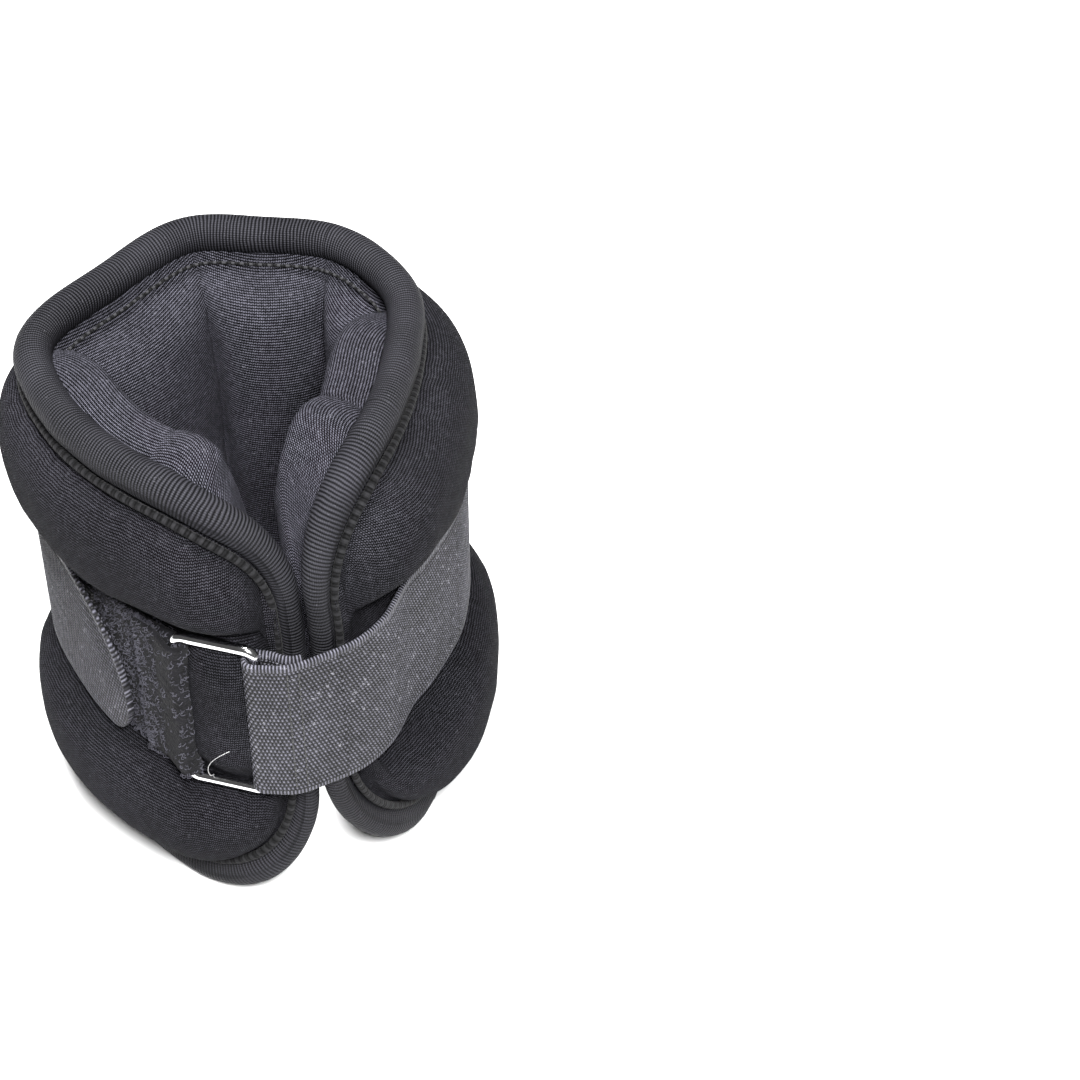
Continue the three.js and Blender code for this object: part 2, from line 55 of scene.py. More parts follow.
# Middle surface of the padded sheet seen from above, from the left end clockwise round the back to
# the right end: x, y, and how far the cover stands out at the waist, the upper and the lower roll.
PLAN = MM * np.array([
    [17.5, -65, 3, 12, 13],
    [1, -65.5, 3.5, 14, 15],
    [-17, -55.5, 4.5, 14.5, 17.5],
    [-39.5, -32, 3, 14.5, 19],
    [-51.5, 0, 4, 14.5, 16],
    [-34.5, 29, 7.5, 15.5, 17],
    [-15, 50.5, 10, 17, 18],
    [6, 51, 10, 18, 19],
    [27, 47.5, 10.5, 19, 20],
    [40, 36, 11, 19, 20.5],
    [48.5, 20, 11.5, 18.5, 21],
    [49, -6, 11.5, 18.5, 22],
    [44.5, -31, 7.5, 18.5, 20],
    [38, -49, 3.5, 17, 17],
    [26.3, -66, 2.5, 13, 13],  # lower roll 7 in the CAD
])
ORIGIN = MM * np.array([2.67, -4.11])
SEAM_STRIDE = 2  # every second plan point is a seam
CHANNELS = ["left_end", "left_front", "left_side", "back", "right_back", "right_side", "right_end"]
LEAN = MM * np.array([-3.2, 5])
LEAN_STARTS = 26 * MM
LEAN_ENDS = 68 * MM

EDGE_STAND = 4.5 * MM
INNER_BULGE = 18.5 * MM
SEAM_PINCH = np.array([1, 0.9, 0.25, 0.25, 0.25, 0.25, 0.75, 1])  # at each seam; 0.25 in the CAD
SEAM_ROUNDING = 0.6
WAIST_HALF = 26.6 * MM
WAIST_HALF_AT_RING = 29.7 * MM
RING_ZONE = MM * np.array([30, 60])
LEAST_ROLL = 12 * MM
END_FADE = 24 * MM
# One roll of the cover, from the waist crease to the rim: shares of the edge, waist and roll
# stand-offs, and the share of the roll's height.
ROLL = np.array([
    [0, 1, 0, 0],
    [0, 0.55, 0.45, 0.06],
    [0, 0.12, 0.88, 0.22],
    [0, 0, 1, 0.47],
    [0.1, 0, 0.9, 0.73],
    [0.45, 0, 0.55, 0.92],
    [1, 0, 0, 1],
])
# Lining: share of the inner bulge, and share of the panel's height.
LINING = np.array([
    [0, 1],
    [0.72, 0.95],
    [0.95, 0.85],
    [1, 0.66],
    [1, 0.34],
    [0.95, 0.15],
    [0.72, 0.05],
    [0, 0],
])

RIM_SIDES_IN_CAD = 10
RIM_RADIUS = 6.5 * MM
END_RIM_RADIUS = 4.2 * MM
RIM_FLAT = RIM_RADIUS * math.cos(math.pi / RIM_SIDES_IN_CAD)
RIM_HALF = MIDDLE_Z - RIM_FLAT  # from the middle to the rim's centre line
UPPER_CORNER = 32 * MM
LEFT_LOWER_CORNER = 38 * MM
RIGHT_LOWER_CORNER = 46 * MM
PANEL_INSET = 7 * MM
TUCK = 2.4 * MM  # cover and lining run on into the rim, to this distance from its centre line
TUCK_STAND = 2.4 * MM
TUCK_STAND_AT_END = 0.6 * MM

STRAP_WIDTH = 50 * MM
STRAP_THICKNESS = 1.8 * MM
BAND_THICKNESS = 1.5 * MM
PATCH_THICKNESS = 1 * MM
GAP = 0.3 * MM
LIE_GAP = 0.7 * MM
WIRE_RADIUS = 1.6 * MM
RING_SPAN = 23 * MM
RING_HALF_HEIGHT = 27 * MM
RING_CORNER = 3 * MM
RING_AT = 27.5 * MM
RING_TURN = 0.26
STRAP_FREE = MM * np.array([[17.5, -77.5], [26, -73.5], [35.2, -67.6], [42.4, -58.2]])
STRAP_LANDS = 30 * MM
STRAP_STEP = 6.5 * MM  # between the points that the strap's line goes through
TIP_AT = 46 * MM
BAND_END = 116 * MM
BAND_RAMP = 16 * MM
PATCH_FROM = 104 * MM
PATCH_RAMP = 14 * MM
PEEL_FROM = 92 * MM
PEEL = 0.8 * MM
TIP_RISE = -12 * MM
TIP_UPPER_LENGTH = 32 * MM
TIP_LOWER_LENGTH = 10 * MM
FOLD_LENGTH = 14 * MM
STRAP_JOINTS = MM * np.array([46, 130, 224, 304])
PATCH_MARGIN = 9 * MM
PATCH_HALF = 20 * MM
LABEL = MM * np.array([135, 219])
LABEL_HALF = 17 * MM

# ---- Curves ----

CURVE_STEPS = 40
TRAVEL_STEP = 1e-4  # of a curve's t
TINY = 1e-9


def clamp(value):
    return np.clip(value, 0.0, 1.0)


def smooth(value):
    return clamp(value) ** 2 * (3 - 2 * clamp(value))


def mix(a, b, share):
    return a + (b - a) * share


def unit(vectors):
    return vectors / np.maximum(np.linalg.norm(vectors, axis=-1, keepdims=True), TINY)


def curve(points):
    """A function of t from 0 to 1: the centripetal Catmull-Rom curve through the points."""
    p = np.asarray(points, float)
    ends = np.vstack([2 * p[0] - p[1], p, 2 * p[-1] - p[-2]])
    gaps = np.maximum(np.linalg.norm(np.diff(ends, axis=0), axis=1), TINY) ** 0.5

    def at(t):
        x = clamp(np.asarray(t, float)) * (len(p) - 1)
        i = np.minimum(x.astype(int), len(p) - 2)
        w = (x - i)[..., None]
        p0, p1, p2, p3 = (ends[i + k] for k in range(4))
        d0, d1, d2 = (gaps[i + k][..., None] for k in range(3))
        m1 = d1 * ((p1 - p0) / d0 - (p2 - p0) / (d0 + d1) + (p2 - p1) / d1)
        m2 = d1 * ((p2 - p1) / d1 - (p3 - p1) / (d1 + d2) + (p3 - p2) / d2)
        curved = -3 * p1 + 3 * p2 - 2 * m1 - m2
        return p1 + w * (m1 + w * (curved + w * (2 * p1 - 2 * p2 + m1 + m2)))

    return at


def lengths_along(points):
    steps = np.linalg.norm(np.diff(points, axis=0), axis=-1)
    return np.concatenate([[0], np.cumsum(steps)])


class Line:
    """A curve that is read by the distance along it."""

    def __init__(self, points, divisions):
        self.curve = curve(points)
        self.t = np.linspace(0, 1, divisions + 1)
        self.lengths = lengths_along(self.curve(self.t))
        self.length = self.lengths[-1]

    def share(self, distance):
        return np.interp(distance, self.lengths, self.t)

    def point(self, distance):
        return self.curve(self.share(distance))

    def travel(self, distance):
        t = self.share(distance)
        return unit(self.curve(t + TRAVEL_STEP) - self.curve(t - TRAVEL_STEP))


plan = Line(PLAN[:, :2] - ORIGIN, (len(PLAN) - 1) * CURVE_STEPS)
stand_offs = curve(PLAN[:, 2:])
LENGTH = plan.length
SEAMS = plan.lengths[:: SEAM_STRIDE * CURVE_STEPS]


def along(s):
    """Point, direction of travel and outward normal in plan, at distances along the middle surface."""
    s = np.asarray(s, float)
    inside = np.clip(s, 0, LENGTH)
    travel = plan.travel(inside)
    point = plan.point(inside) + travel * (s - inside)[..., None]
    return point, travel, np.stack([-travel[..., 1], travel[..., 0]], -1)


def place(s, out, z):
    """Points from distance along the sheet, distance out from its middle surface, and height."""
    s, out, z = np.broadcast_arrays(*(np.asarray(a, float) for a in (s, out, z)))
    point, _, outward = along(s)
    rise = np.abs(z - MIDDLE_Z)
    lean = np.sign(z - MIDDLE_Z) * clamp((rise - LEAN_STARTS) / (LEAN_ENDS - LEAN_STARTS))
    flat = point + outward * out[..., None] + LEAN * lean[..., None]
    return np.concatenate([flat, z[..., None]], -1)


def from_end(s):
    return np.minimum(s, LENGTH - s)


def stand_off(s):
    """Stand-offs of the cover at the waist, the upper roll and the lower roll."""
    return np.moveaxis(stand_offs(plan.share(np.clip(s, 0, LENGTH))), -1, 0)


def waist_half(s):
    share = smooth((from_end(s) - RING_ZONE[0]) / (RING_ZONE[1] - RING_ZONE[0]))
    return mix(WAIST_HALF_AT_RING, WAIST_HALF, share)


def lower_corner(s):
    return LEFT_LOWER_CORNER if s < LENGTH / 2 else RIGHT_LOWER_CORNER


def panel_reach(s, radius, inset):
    """How far the panel reaches above or below the middle, at a distance inside the rim's line."""
    into = max(0.0, radius - from_end(s))
    return RIM_HALF - radius + math.sqrt(max(0.0, (radius - inset) ** 2 - into**2))


def fullness(s):
    left = 1 - clamp((from_end(s) - PANEL_INSET) / END_FADE)
    return np.sqrt(1 - left**2)


def in_channel(s):
    """Which channel a distance along the sheet is in, and the share of the channel's width before it."""
    channel = min(max(int(np.searchsorted(SEAMS, s)) - 1, 0), len(CHANNELS) - 1)
    return channel, clamp((s - SEAMS[channel]) / (SEAMS[channel + 1] - SEAMS[channel]))


def pinch(s):
    """Share of the inner bulge left near a seam."""
    channel, share = in_channel(s)
    least = mix(SEAM_PINCH[channel], SEAM_PINCH[channel + 1], share)
    return mix(least, 1, math.sin(math.pi * share) ** SEAM_ROUNDING)


# The lining swells up beside the rim in the four channels next to the closure: at each seam, and midway.
SWELL_AT_SEAM = MM * np.array([21, 19, 11, 0, 0, 9, 17, 21])
SWELL_MIDWAY = MM * np.array([21, 18, 0, 0, 0, 17, 21])
SWELL_FADE = 8 * MM  # beside an end
SWELL_OF_ROW = np.array([0.5, 1, 1, 0.4, 0, 0, 0, 0])
LINING_FADE = 9 * MM  # the lining's padding thins out over this distance from an end
EXTRA_BULGE = np.array([0, 0.1, 0.05, 0, 0, 0.1, 0.35, 0.1])  # at each seam


def swell(s):
    """How far up the lining's padding is pushed."""
    channel, share = in_channel(s)
    at_seam = mix(SWELL_AT_SEAM[channel], SWELL_AT_SEAM[channel + 1], smooth(share))
    inside = smooth((from_end(s) - TUCK) / SWELL_FADE)
    midway = math.sin(math.pi * share) ** SEAM_ROUNDING
    return inside * (mix(at_seam, SWELL_MIDWAY[channel], midway) if SWELL_MIDWAY[channel] else 0)


# ---- Sections across the sheet: points are [out, z] ----

# A pleat of the cover shows in the ring's window: its place, and shares of its depth against height.
PLEAT = 7 * MM
PLEAT_AT = 17 * MM
PLEAT_HALF = 10 * MM
PLEAT_LINE = [(18 * MM, 1.0), (0.0, 1.0), (-16 * MM, 1.0), (-21 * MM, 0.55)]


def tuck_stand(s):
    return mix(TUCK_STAND_AT_END, TUCK_STAND, smooth((from_end(s) - TUCK) / PANEL_INSET))


def roll_line(s, roll_out, radius):
    reach = panel_reach(s, radius, PANEL_INSET)
    painted_creases = min(waist_half(s), reach - LEAST_ROLL)
    out = ROLL[:, :3] @ np.array([EDGE_STAND, stand_off(s)[0], roll_out])
    line = np.stack([mix(EDGE_STAND, out, fullness(s)), mix(painted_creases, reach, ROLL[:, 3])], -1)
    return np.vstack([line, [tuck_stand(s), panel_reach(s, radius, TUCK)]])


def cover_line(s):
    waist, upper_out, lower_out = stand_off(s)
    upper = roll_line(s, upper_out, UPPER_CORNER)
    lower = roll_line(s, lower_out, lower_corner(s))
    stand = mix(EDGE_STAND, waist, fullness(s))
    pleat = PLEAT * max(0.0, 1 - ((s - PLEAT_AT) / PLEAT_HALF) ** 2) ** 0.5
    middle = [[stand + pleat * share, MIDDLE_Z + rise] for rise, share in PLEAT_LINE]
    above = np.stack([upper[:, 0], MIDDLE_Z + upper[:, 1]], -1)[::-1]
    below = np.stack([lower[:, 0], MIDDLE_Z - lower[:, 1]], -1)
    return np.vstack([above, middle, below])


def lining_line(s):
    high = MIDDLE_Z + panel_reach(s, UPPER_CORNER, PANEL_INSET)
    low = MIDDLE_Z - panel_reach(s, lower_corner(s), PANEL_INSET)
    inside = clamp((from_end(s) - TUCK) / LINING_FADE)
    bulge = (INNER_BULGE - EDGE_STAND) * (1 + np.interp(s, SEAMS, EXTRA_BULGE))
    depth = bulge * pinch(s) * math.sqrt(1 - (1 - inside) ** 2)
    z = mix(low, high, LINING[:, 1]) + swell(s) * SWELL_OF_ROW
    line = np.stack([-EDGE_STAND - depth * LINING[:, 0], z], -1)
    top = [-tuck_stand(s), MIDDLE_Z + panel_reach(s, UPPER_CORNER, TUCK)]
    bottom = [-tuck_stand(s), MIDDLE_Z - panel_reach(s, lower_corner(s), TUCK)]
    return np.vstack([top, line, bottom])


# ---- Meshes ----


def add_object(name, data):
    made = bpy.data.objects.new(name, data)
    bpy.context.scene.collection.objects.link(made)
    return made


def make_mesh(name, points, faces, uv, material, normals=None):
    mesh = bpy.data.meshes.new(name)
    mesh.from_pydata(points.tolist(), [], faces)
    layer = mesh.uv_layers.new(name="UVMap")
    corner = np.empty(len(mesh.loops), int)
    mesh.loops.foreach_get("vertex_index", corner)
    layer.data.foreach_set("uv", uv[corner].astype(np.float32).ravel())
    mesh.shade_smooth()
    if normals is not None:
        mesh.normals_split_custom_set_from_vertices(normals.tolist())
    mesh.materials.append(material)
    return add_object(name, mesh)


def surface_normals(grid):
    across = np.gradient(grid, axis=0)
    up = np.gradient(grid, axis=1)
    return unit(np.cross(across, up))


def cloth_piece(name, front, normals, uv, thickness, material):
    """Closed piece of fabric: a front grid, the same grid a thickness behind it, and the edge between."""
    rows, cols = front.shape[:2]
    index = np.arange(rows * cols).reshape(rows, cols)
    a, b, c, d = index[:-1, :-1], index[1:, :-1], index[1:, 1:], index[:-1, 1:]
    quads = np.stack([a, b, c, d], -1).reshape(-1, 4)
    middle = quads[len(quads) // 2]
    flat = front.reshape(-1, 3)
    turn = np.cross(flat[middle[1]] - flat[middle[0]], flat[middle[3]] - flat[middle[0]])
    if turn @ normals.reshape(-1, 3)[middle[0]] < 0:
        quads = quads[:, ::-1]
        border = np.concatenate([index[0], index[1:, -1], index[-1, -2::-1], index[-2:0:-1, 0]])
    else:
        border = np.concatenate([index[:, 0], index[-1, 1:], index[-2::-1, -1], index[0, -2:0:-1]])
    count = rows * cols
    after = np.roll(border, -1)
    edge = np.stack([after, border, border + count, after + count], -1)
    faces = np.vstack([quads, quads[:, ::-1] + count, edge]).tolist()
    points = np.concatenate([flat, (front - normals * thickness).reshape(-1, 3)])
    both = np.concatenate([normals.reshape(-1, 3), -normals.reshape(-1, 3)])
    return make_mesh(name, points, faces, np.tile(uv.reshape(-1, 2), (2, 1)), material, both)


def tube_piece(name, rings, uv, material, closed=False, normals=None):
    """Closed skin through rings of points. Its ends are capped, or joined to each other."""
    count, sides = rings.shape[:2]
    index = np.arange(count * sides).reshape(count, sides)
    this = index if closed else index[:-1]
    that = np.roll(index, -1, axis=0) if closed else index[1:]
    quads = np.stack([this, np.roll(this, -1, 1), np.roll(that, -1, 1), that], -1).reshape(-1, 4)
    faces = quads.tolist()
    if not closed:
        faces += [index[0, ::-1].tolist(), index[-1].tolist()]
    points = rings.reshape(-1, 3)
    centre = points.mean(0)
    corners = points[quads] - centre
    volume = np.einsum("ij,ij->i", corners[:, 0], np.cross(corners[:, 1], corners[:, 2])).sum()
    if volume < 0:
        faces = [face[::-1] for face in faces]
    if normals is not None:
        normals = normals.reshape(-1, 3)
    return make_mesh(name, points, faces, uv.reshape(-1, 2), material, normals)


def grow(points, amounts, normals):
    return points + normals * amounts[..., None]


def rough(points, size, seed=0.0):
    """Smooth noise from -1 to 1 at each point, with features of the given size."""
    shift = Vector((seed, 2 * seed, -seed))
    flat = (points.reshape(-1, 3) / size).tolist()
    return np.array([noise.noise(Vector(p) + shift) for p in flat]).reshape(points.shape[:-1])


# ---- Where the cuff bends: four stretches of the sheet, each on one body or across one hinge ----

BEND_HALF = 9 * MM
ZONES = [
    ("left", 0.0, SEAMS[2], CHANNELS[:2]),
    ("left_back", SEAMS[2], SEAMS[4], CHANNELS[2:4]),
    ("right_back", SEAMS[4], SEAMS[6], CHANNELS[4:6]),
    ("right", SEAMS[6], LENGTH, CHANNELS[6:]),
]
CUFF_BENDS = {
    "left_back": ("cuff_left", "cuff_back", SEAMS[3]),
    "right_back": ("cuff_back", "cuff_right", SEAMS[5]),
}


def bend_point(s):
    return tuple(place(s, 0.0, MIDDLE_Z))


def settle(piece, body, slot, *nodes):
    """The piece rides on a body and stands for CAD nodes where some are named; its slot is not used."""
    if nodes:
        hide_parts(*nodes)
    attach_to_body(piece, body)


def attach(piece, zone):
    """The piece rides on its end of the cuff; inside a hinge's stretch its transform is only baked into its
    mesh.
    """
    if zone in CUFF_BENDS:
        a, b, seam = CUFF_BENDS[zone]
        bend_point(seam - BEND_HALF)
        bend_point(seam + BEND_HALF)
        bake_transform(piece)
    else:
        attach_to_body(piece, f"cuff_{zone}")


# ---- Material helpers ----

FABRIC_SPECULAR = 0.03
SHEEN_ROUGHNESS = 0.5


class Shader:
    """A material whose nodes are made by short calls. Distances in its patterns are millimetres."""

    def __init__(self, name):
        self.material = bpy.data.materials.new(name)
        self.material.use_nodes = True
        self.tree = self.material.node_tree
        self.shader = self.tree.nodes["Principled BSDF"]
        coordinates = self.add("TexCoord")
        parts = self.add("SeparateXYZ")
        self.feed(parts.inputs[0], self.in_millimetres(coordinates.outputs["UV"]))
        self.u = parts.outputs[0]
        self.v = parts.outputs[1]
        self.solid = self.in_millimetres(coordinates.outputs["Object"])

    def add(self, kind):
        return self.tree.nodes.new("ShaderNode" + kind)

    def feed(self, socket, value):
        if isinstance(value, bpy.types.NodeSocket):
            self.tree.links.new(value, socket)
        else:
            socket.default_value = value

    def in_millimetres(self, place):
        node = self.add("VectorMath")
        node.operation = "SCALE"
        self.feed(node.inputs[0], place)
        node.inputs["Scale"].default_value = 1 / MM
        return node.outputs[0]

    def math(self, operation, *values):
        node = self.add("Math")
        node.operation = operation
        for socket, value in zip(node.inputs, values):
            self.feed(socket, value)
        return node.outputs[0]

    def times(self, a, b):
        return self.math("MULTIPLY", a, b)

    def arch(self, phase):
        """0 at whole numbers and 1 halfway between them."""
        return self.math("SINE", self.times(self.math("FRACT", phase), math.pi))

    def ridges(self, distance, spacing):
        return self.arch(self.math("DIVIDE", distance, spacing))

    def noise(self, size, detail=2.0):
        node = self.add("TexNoise")
        self.feed(node.inputs["Vector"], self.solid)
        node.inputs["Scale"].default_value = 1 / size
        node.inputs["Detail"].default_value = detail
        return node.outputs[0]

    def chance(self, x, y):
        """A number from 0 to 1 for each whole cell."""
        cell = self.add("CombineXYZ")
        for socket, value in zip(cell.inputs, (x, y)):
            self.feed(socket, self.math("FLOOR", value))
        node = self.add("TexWhiteNoise")
        node.noise_dimensions = "2D"
        self.feed(node.inputs["Vector"], cell.outputs[0])
        return node.outputs["Value"]

    def range(self, value, low, high, to_low=0.0, to_high=1.0):
        node = self.add("MapRange")
        for socket, number in zip(node.inputs, (value, low, high, to_low, to_high)):
            self.feed(socket, number)
        return node.outputs[0]

    def spread(self, pattern, least, most):
        """Noise, which stays near its middle, spread out between two values."""
        return self.range(pattern, 0.3, 0.7, least, most)

    def worn(self, tone, patch, depth):
        """A tone made lighter and darker in patches."""
        return self.math("MULTIPLY_ADD", self.math("SUBTRACT", patch, 0.5), depth, tone)

    def mix(self, share, a, b):
        node = self.add("Mix")
        node.data_type = "RGBA"
        self.feed(node.inputs["Factor"], share)
        for socket, colour in zip((node.inputs[6], node.inputs[7]), (a, b)):
            self.feed(socket, (*colour, 1) if isinstance(colour, tuple) else colour)
        return node.outputs[2]

    def bump(self, height, distance, strength=1.0, over=None):
        node = self.add("Bump")
        node.inputs["Distance"].default_value = distance
        node.inputs["Strength"].default_value = strength
        self.feed(node.inputs["Height"], height)
        if over is not None:
            self.feed(node.inputs["Normal"], over)
        return node.outputs[0]

    def finish(self, colour, roughness, normal, sheen=0.0, metallic=0.0, specular=FABRIC_SPECULAR):
        values = {
            "Base Color": colour,
            "Specular IOR Level": specular,
            "Roughness": roughness,
            "Normal": normal,
            "Sheen Weight": sheen,
            "Sheen Roughness": SHEEN_ROUGHNESS,
            "Metallic": metallic,
        }
        for name, value in values.items():
            self.feed(self.shader.inputs[name], value)
        return self.material


def grey(level, cool=0.0):
    """A grey as red, green and blue, a little violet where cool is above 0."""
    return (level * (1 - cool / 2), level * (1 - cool * 0.6), level * (1 + cool))


# ---- Materials: spacings in millimetres ----

COURSE = 0.85  # between rows of knit stitches
WALE = 1.05  # between columns of knit stitches
RIB = 1.05
STRAND = 0.7
ROW = 1.35  # between the rows of the webbing's weave, which run along the strap
BEAD = 1.1
BEAD_LEAN = 0.35
SELVEDGE = 2.1  # width of the webbing's ribbed edge
SELVEDGE_RIB = 0.95
SELVEDGE_FROM = STRAP_WIDTH / 2 / MM - SELVEDGE
STITCH = 2.7
HOOK_SPACING = (1.4, 1.1)
TWILL_SPACING = (0.75, 0.55)
TWIST = 0.45


def knit(name, dark, light, fleck, slant):
    """Knit of V-shaped stitches, flecked with single paler stitches and worn a little in patches; the
    stitches' height is painted into the colour as shade between them and highlight on their crests.
    """
    m = Shader(name)
    wale = m.math("DIVIDE", m.u, WALE)
    legs = m.arch(m.times(wale, 2.0))
    side = m.math("ABSOLUTE", m.math("SUBTRACT", m.math("FRACT", wale), 0.5))
    course = m.math("MULTIPLY_ADD", side, slant, m.math("DIVIDE", m.v, COURSE))
    height = m.times(m.arch(course), m.math("POWER", legs, 0.6))
    chance = m.chance(wale, course)
    fuzz = m.noise(0.5, 3.0)
    patch = m.noise(38, 3.0)
    # Painted shade and highlight: the tone is mostly the stitch height, dark in the gaps and light on the
    # crests, with some random tone for each stitch.
    tone = m.worn(m.math("MULTIPLY_ADD", chance, 0.17, m.times(height, 0.83)), patch, 0.3)
    base = m.mix(m.math("POWER", m.range(tone, 0.1, 0.95), 2.0), dark, light)
    flecked = m.times(m.range(chance, 0.992, 0.995, 0.0, 0.5), m.range(fuzz, 0.45, 0.6))
    normal = m.bump(fuzz, 0.3 * MM, 0.5, m.bump(height, 0.6 * MM))
    return m.finish(m.mix(flecked, base, fleck), m.spread(patch, 0.78, 0.92), normal)


def ribbed(name, dark, light, lint):
    """Close binding with fine ribs across the tube."""
    m = Shader(name)
    rib = m.arch(m.math("MULTIPLY_ADD", m.noise(9.0), 1.2, m.math("DIVIDE", m.u, RIB)))
    height = m.math("MULTIPLY_ADD", m.ridges(m.v, STRAND), 0.3, rib)
    fuzz = m.noise(0.6, 3.0)
    patch = m.noise(30, 3.0)
    tone = m.worn(m.times(height, 0.6), patch, 0.5)
    base = m.mix(m.math("POWER", m.range(tone, 0.0, 0.9), 2.0), dark, light)
    base = m.mix(m.range(fuzz, 0.68, 0.74, 0.0, 0.35), base, lint)
    normal = m.bump(fuzz, 0.12 * MM, 0.6, m.bump(height, 0.4 * MM))
    return m.finish(base, m.spread(patch, 0.5, 0.65), normal, specular=0.07)


def webbing(name, dark, light, filament):
    """Rows of raised beads along the strap, ribbed selvedges and a few bright filaments."""
    m = Shader(name)
    row = m.math("DIVIDE", m.v, ROW)
    lean = m.math("MULTIPLY_ADD", m.math("FRACT", row), BEAD_LEAN, m.math("DIVIDE", m.u, BEAD))
    bead = m.math("MULTIPLY_ADD", m.math("FLOOR", row), 0.5, lean)
    weave = m.times(m.arch(row), m.arch(bead))
    edge = m.range(m.math("ABSOLUTE", m.v), SELVEDGE_FROM, SELVEDGE_FROM + 0.2)
    height = m.mix(edge, weave, m.ridges(m.u, SELVEDGE_RIB))
    fuzz = m.noise(0.4, 3.0)
    chance = m.chance(bead, row)
    tone = m.math("MULTIPLY_ADD", chance, 0.25, m.times(height, 0.85))
    tone = m.worn(tone, m.noise(22, 3.0), 0.3)
    base = m.mix(m.math("POWER", m.range(tone, 0.1, 1.0), 1.8), dark, light)
    bright = m.times(m.range(chance, 0.97, 0.98), m.range(fuzz, 0.5, 0.6))
    base = m.mix(m.times(bright, 0.4), base, filament)
    normal = m.bump(fuzz, 0.12 * MM, 0.5, m.bump(height, 0.8 * MM))
    return m.finish(base, m.spread(fuzz, 0.5, 0.75), normal, specular=0.25)


def stitched(name, dark, light, pale, share):
    """Binding on a cord with a paler stitch across it every few millimetres."""
    m = Shader(name)
    rib = m.ridges(m.u, RIB)
    stitch = m.times(m.range(m.ridges(m.u, STITCH), 0.75, 0.9), share)
    fuzz = m.noise(0.6, 3.0)
    base = m.mix(stitch, m.mix(m.times(rib, fuzz), dark, light), pale)
    height = m.math("MULTIPLY_ADD", rib, 0.5, m.times(stitch, 0.4))
    return m.finish(base, m.spread(fuzz, 0.6, 0.8), m.bump(height, 0.2 * MM), 0.02)


def pile(name, dark, pale_and_highlight):
    """Matted loops of nylon, mottled towards a paler colour; on the curls this paler colour is a painted
    highlight.
    """
    m = Shader(name)
    curl = m.noise(0.8, 4.0)
    base = m.mix(m.times(curl, m.noise(4.0, 2.0)), dark, pale_and_highlight)
    return m.finish(base, m.spread(curl, 0.6, 0.85), m.bump(curl, 0.6 * MM), 0.02)


def hook(name, dark, light):
    """Moulded rows of small stiff hooks."""
    m = Shader(name)
    stub = m.times(m.ridges(m.u, HOOK_SPACING[0]), m.ridges(m.v, HOOK_SPACING[1]))
    base = m.mix(stub, dark, light)
    return m.finish(base, m.spread(m.noise(6.0, 3.0), 0.35, 0.6), m.bump(stub, 0.6 * MM))


def twill(name, dark, light):
    """Fine diagonal weave."""
    m = Shader(name)
    rib = m.ridges(m.math("ADD", m.u, m.v), TWILL_SPACING[0])
    yarn = m.ridges(m.math("SUBTRACT", m.u, m.v), TWILL_SPACING[1])
    height = m.math("MULTIPLY_ADD", yarn, 0.3, rib)
    patch = m.noise(14, 3.0)
    tone = m.worn(m.times(height, 0.6), patch, 0.4)
    base = m.mix(m.range(tone, 0.0, 0.85), dark, light)
    return m.finish(base, m.spread(patch, 0.5, 0.7), m.bump(height, 0.2 * MM), 0.2)


def thread(name, dark, light):
    """Twisted sewing thread."""
    m = Shader(name)
    twist = m.ridges(m.math("ADD", m.u, m.v), TWIST)
    base = m.mix(twist, dark, light)
    return m.finish(base, m.spread(m.noise(3.0), 0.4, 0.6), m.bump(twist, 0.1 * MM), 0.1)


def chrome(name, dark, light):
    """Polished plating with faint scratches and smudges."""
    m = Shader(name)
    smudge = m.noise(7.0, 4.0)
    scratches = m.bump(m.noise(0.35, 2.0), 0.01 * MM)
    base = m.mix(smudge, dark, light)
    return m.finish(base, m.range(smudge, 0.35, 0.7, 0.06, 0.16), scratches, metallic=1.0, specular=0.5)


def pouch_cloth(name, dark, light):
    """Plain cloth of the weight pouches, creased over the grains inside; the creases are painted shade and
    light in its colour, while its bump holds only the grain.
    """
    m = Shader(name)
    painted_creases = m.noise(11.0, 4.0)
    grain = m.bump(m.noise(1.2, 2.0), 0.5 * MM)
    # Painted shade and light of creases: the colour goes from dark to light with the crease pattern.
    return m.finish(m.mix(painted_creases, dark, light), m.spread(painted_creases, 0.8, 0.95), grain, 0.1)


# The knits' dark colour is painted shade between the stitches, and their light colour a painted highlight on
# the stitch crests.
COVER_KNIT = knit("cover_knit", grey(0.0004, 0.08), grey(0.042, 0.12), grey(0.05, 0.08), 1.1)
LINING_KNIT = knit("lining_knit", grey(0.0006, 0.1), grey(0.088, 0.14), grey(0.1, 0.1), 0.6)
HEM_FABRIC = stitched("hem_fabric", grey(0.0006), grey(0.01, 0.05), grey(0.02, 0.05), 0.45)
CORD_THREAD = stitched("cord_thread", grey(0.0006), grey(0.01, 0.05), grey(0.045, 0.05), 0.4)
RIM_FABRIC = ribbed("rim_fabric", grey(0.0004, 0.08), grey(0.028, 0.12), grey(0.12, 0.08))
WEBBING = webbing("webbing", grey(0.0008, 0.05), grey(0.08, 0.14), grey(0.25, 0.05))
PILE = pile("pile", grey(0.0025), grey(0.016, 0.14))
# The curls are the band's own pile made ten times paler: a painted highlight on the loops.
CURLS = pile("curls", grey(0.0025), grey(0.16, 0.14))
HOOK = hook("hook", grey(0.004), grey(0.03))
LABEL_TWILL = twill("label", (0.003, 0.004, 0.009), (0.014, 0.018, 0.036))
BLACK_THREAD = thread("black_thread", grey(0.004), grey(0.035))
PALE_THREAD = thread("pale_thread", grey(0.3), grey(0.6))
CHROME = chrome("chrome", (0.62, 0.62, 0.63), (0.82, 0.82, 0.83))
POUCH = pouch_cloth("pouch", grey(0.02), grey(0.06))

# ---- Cover and lining ----

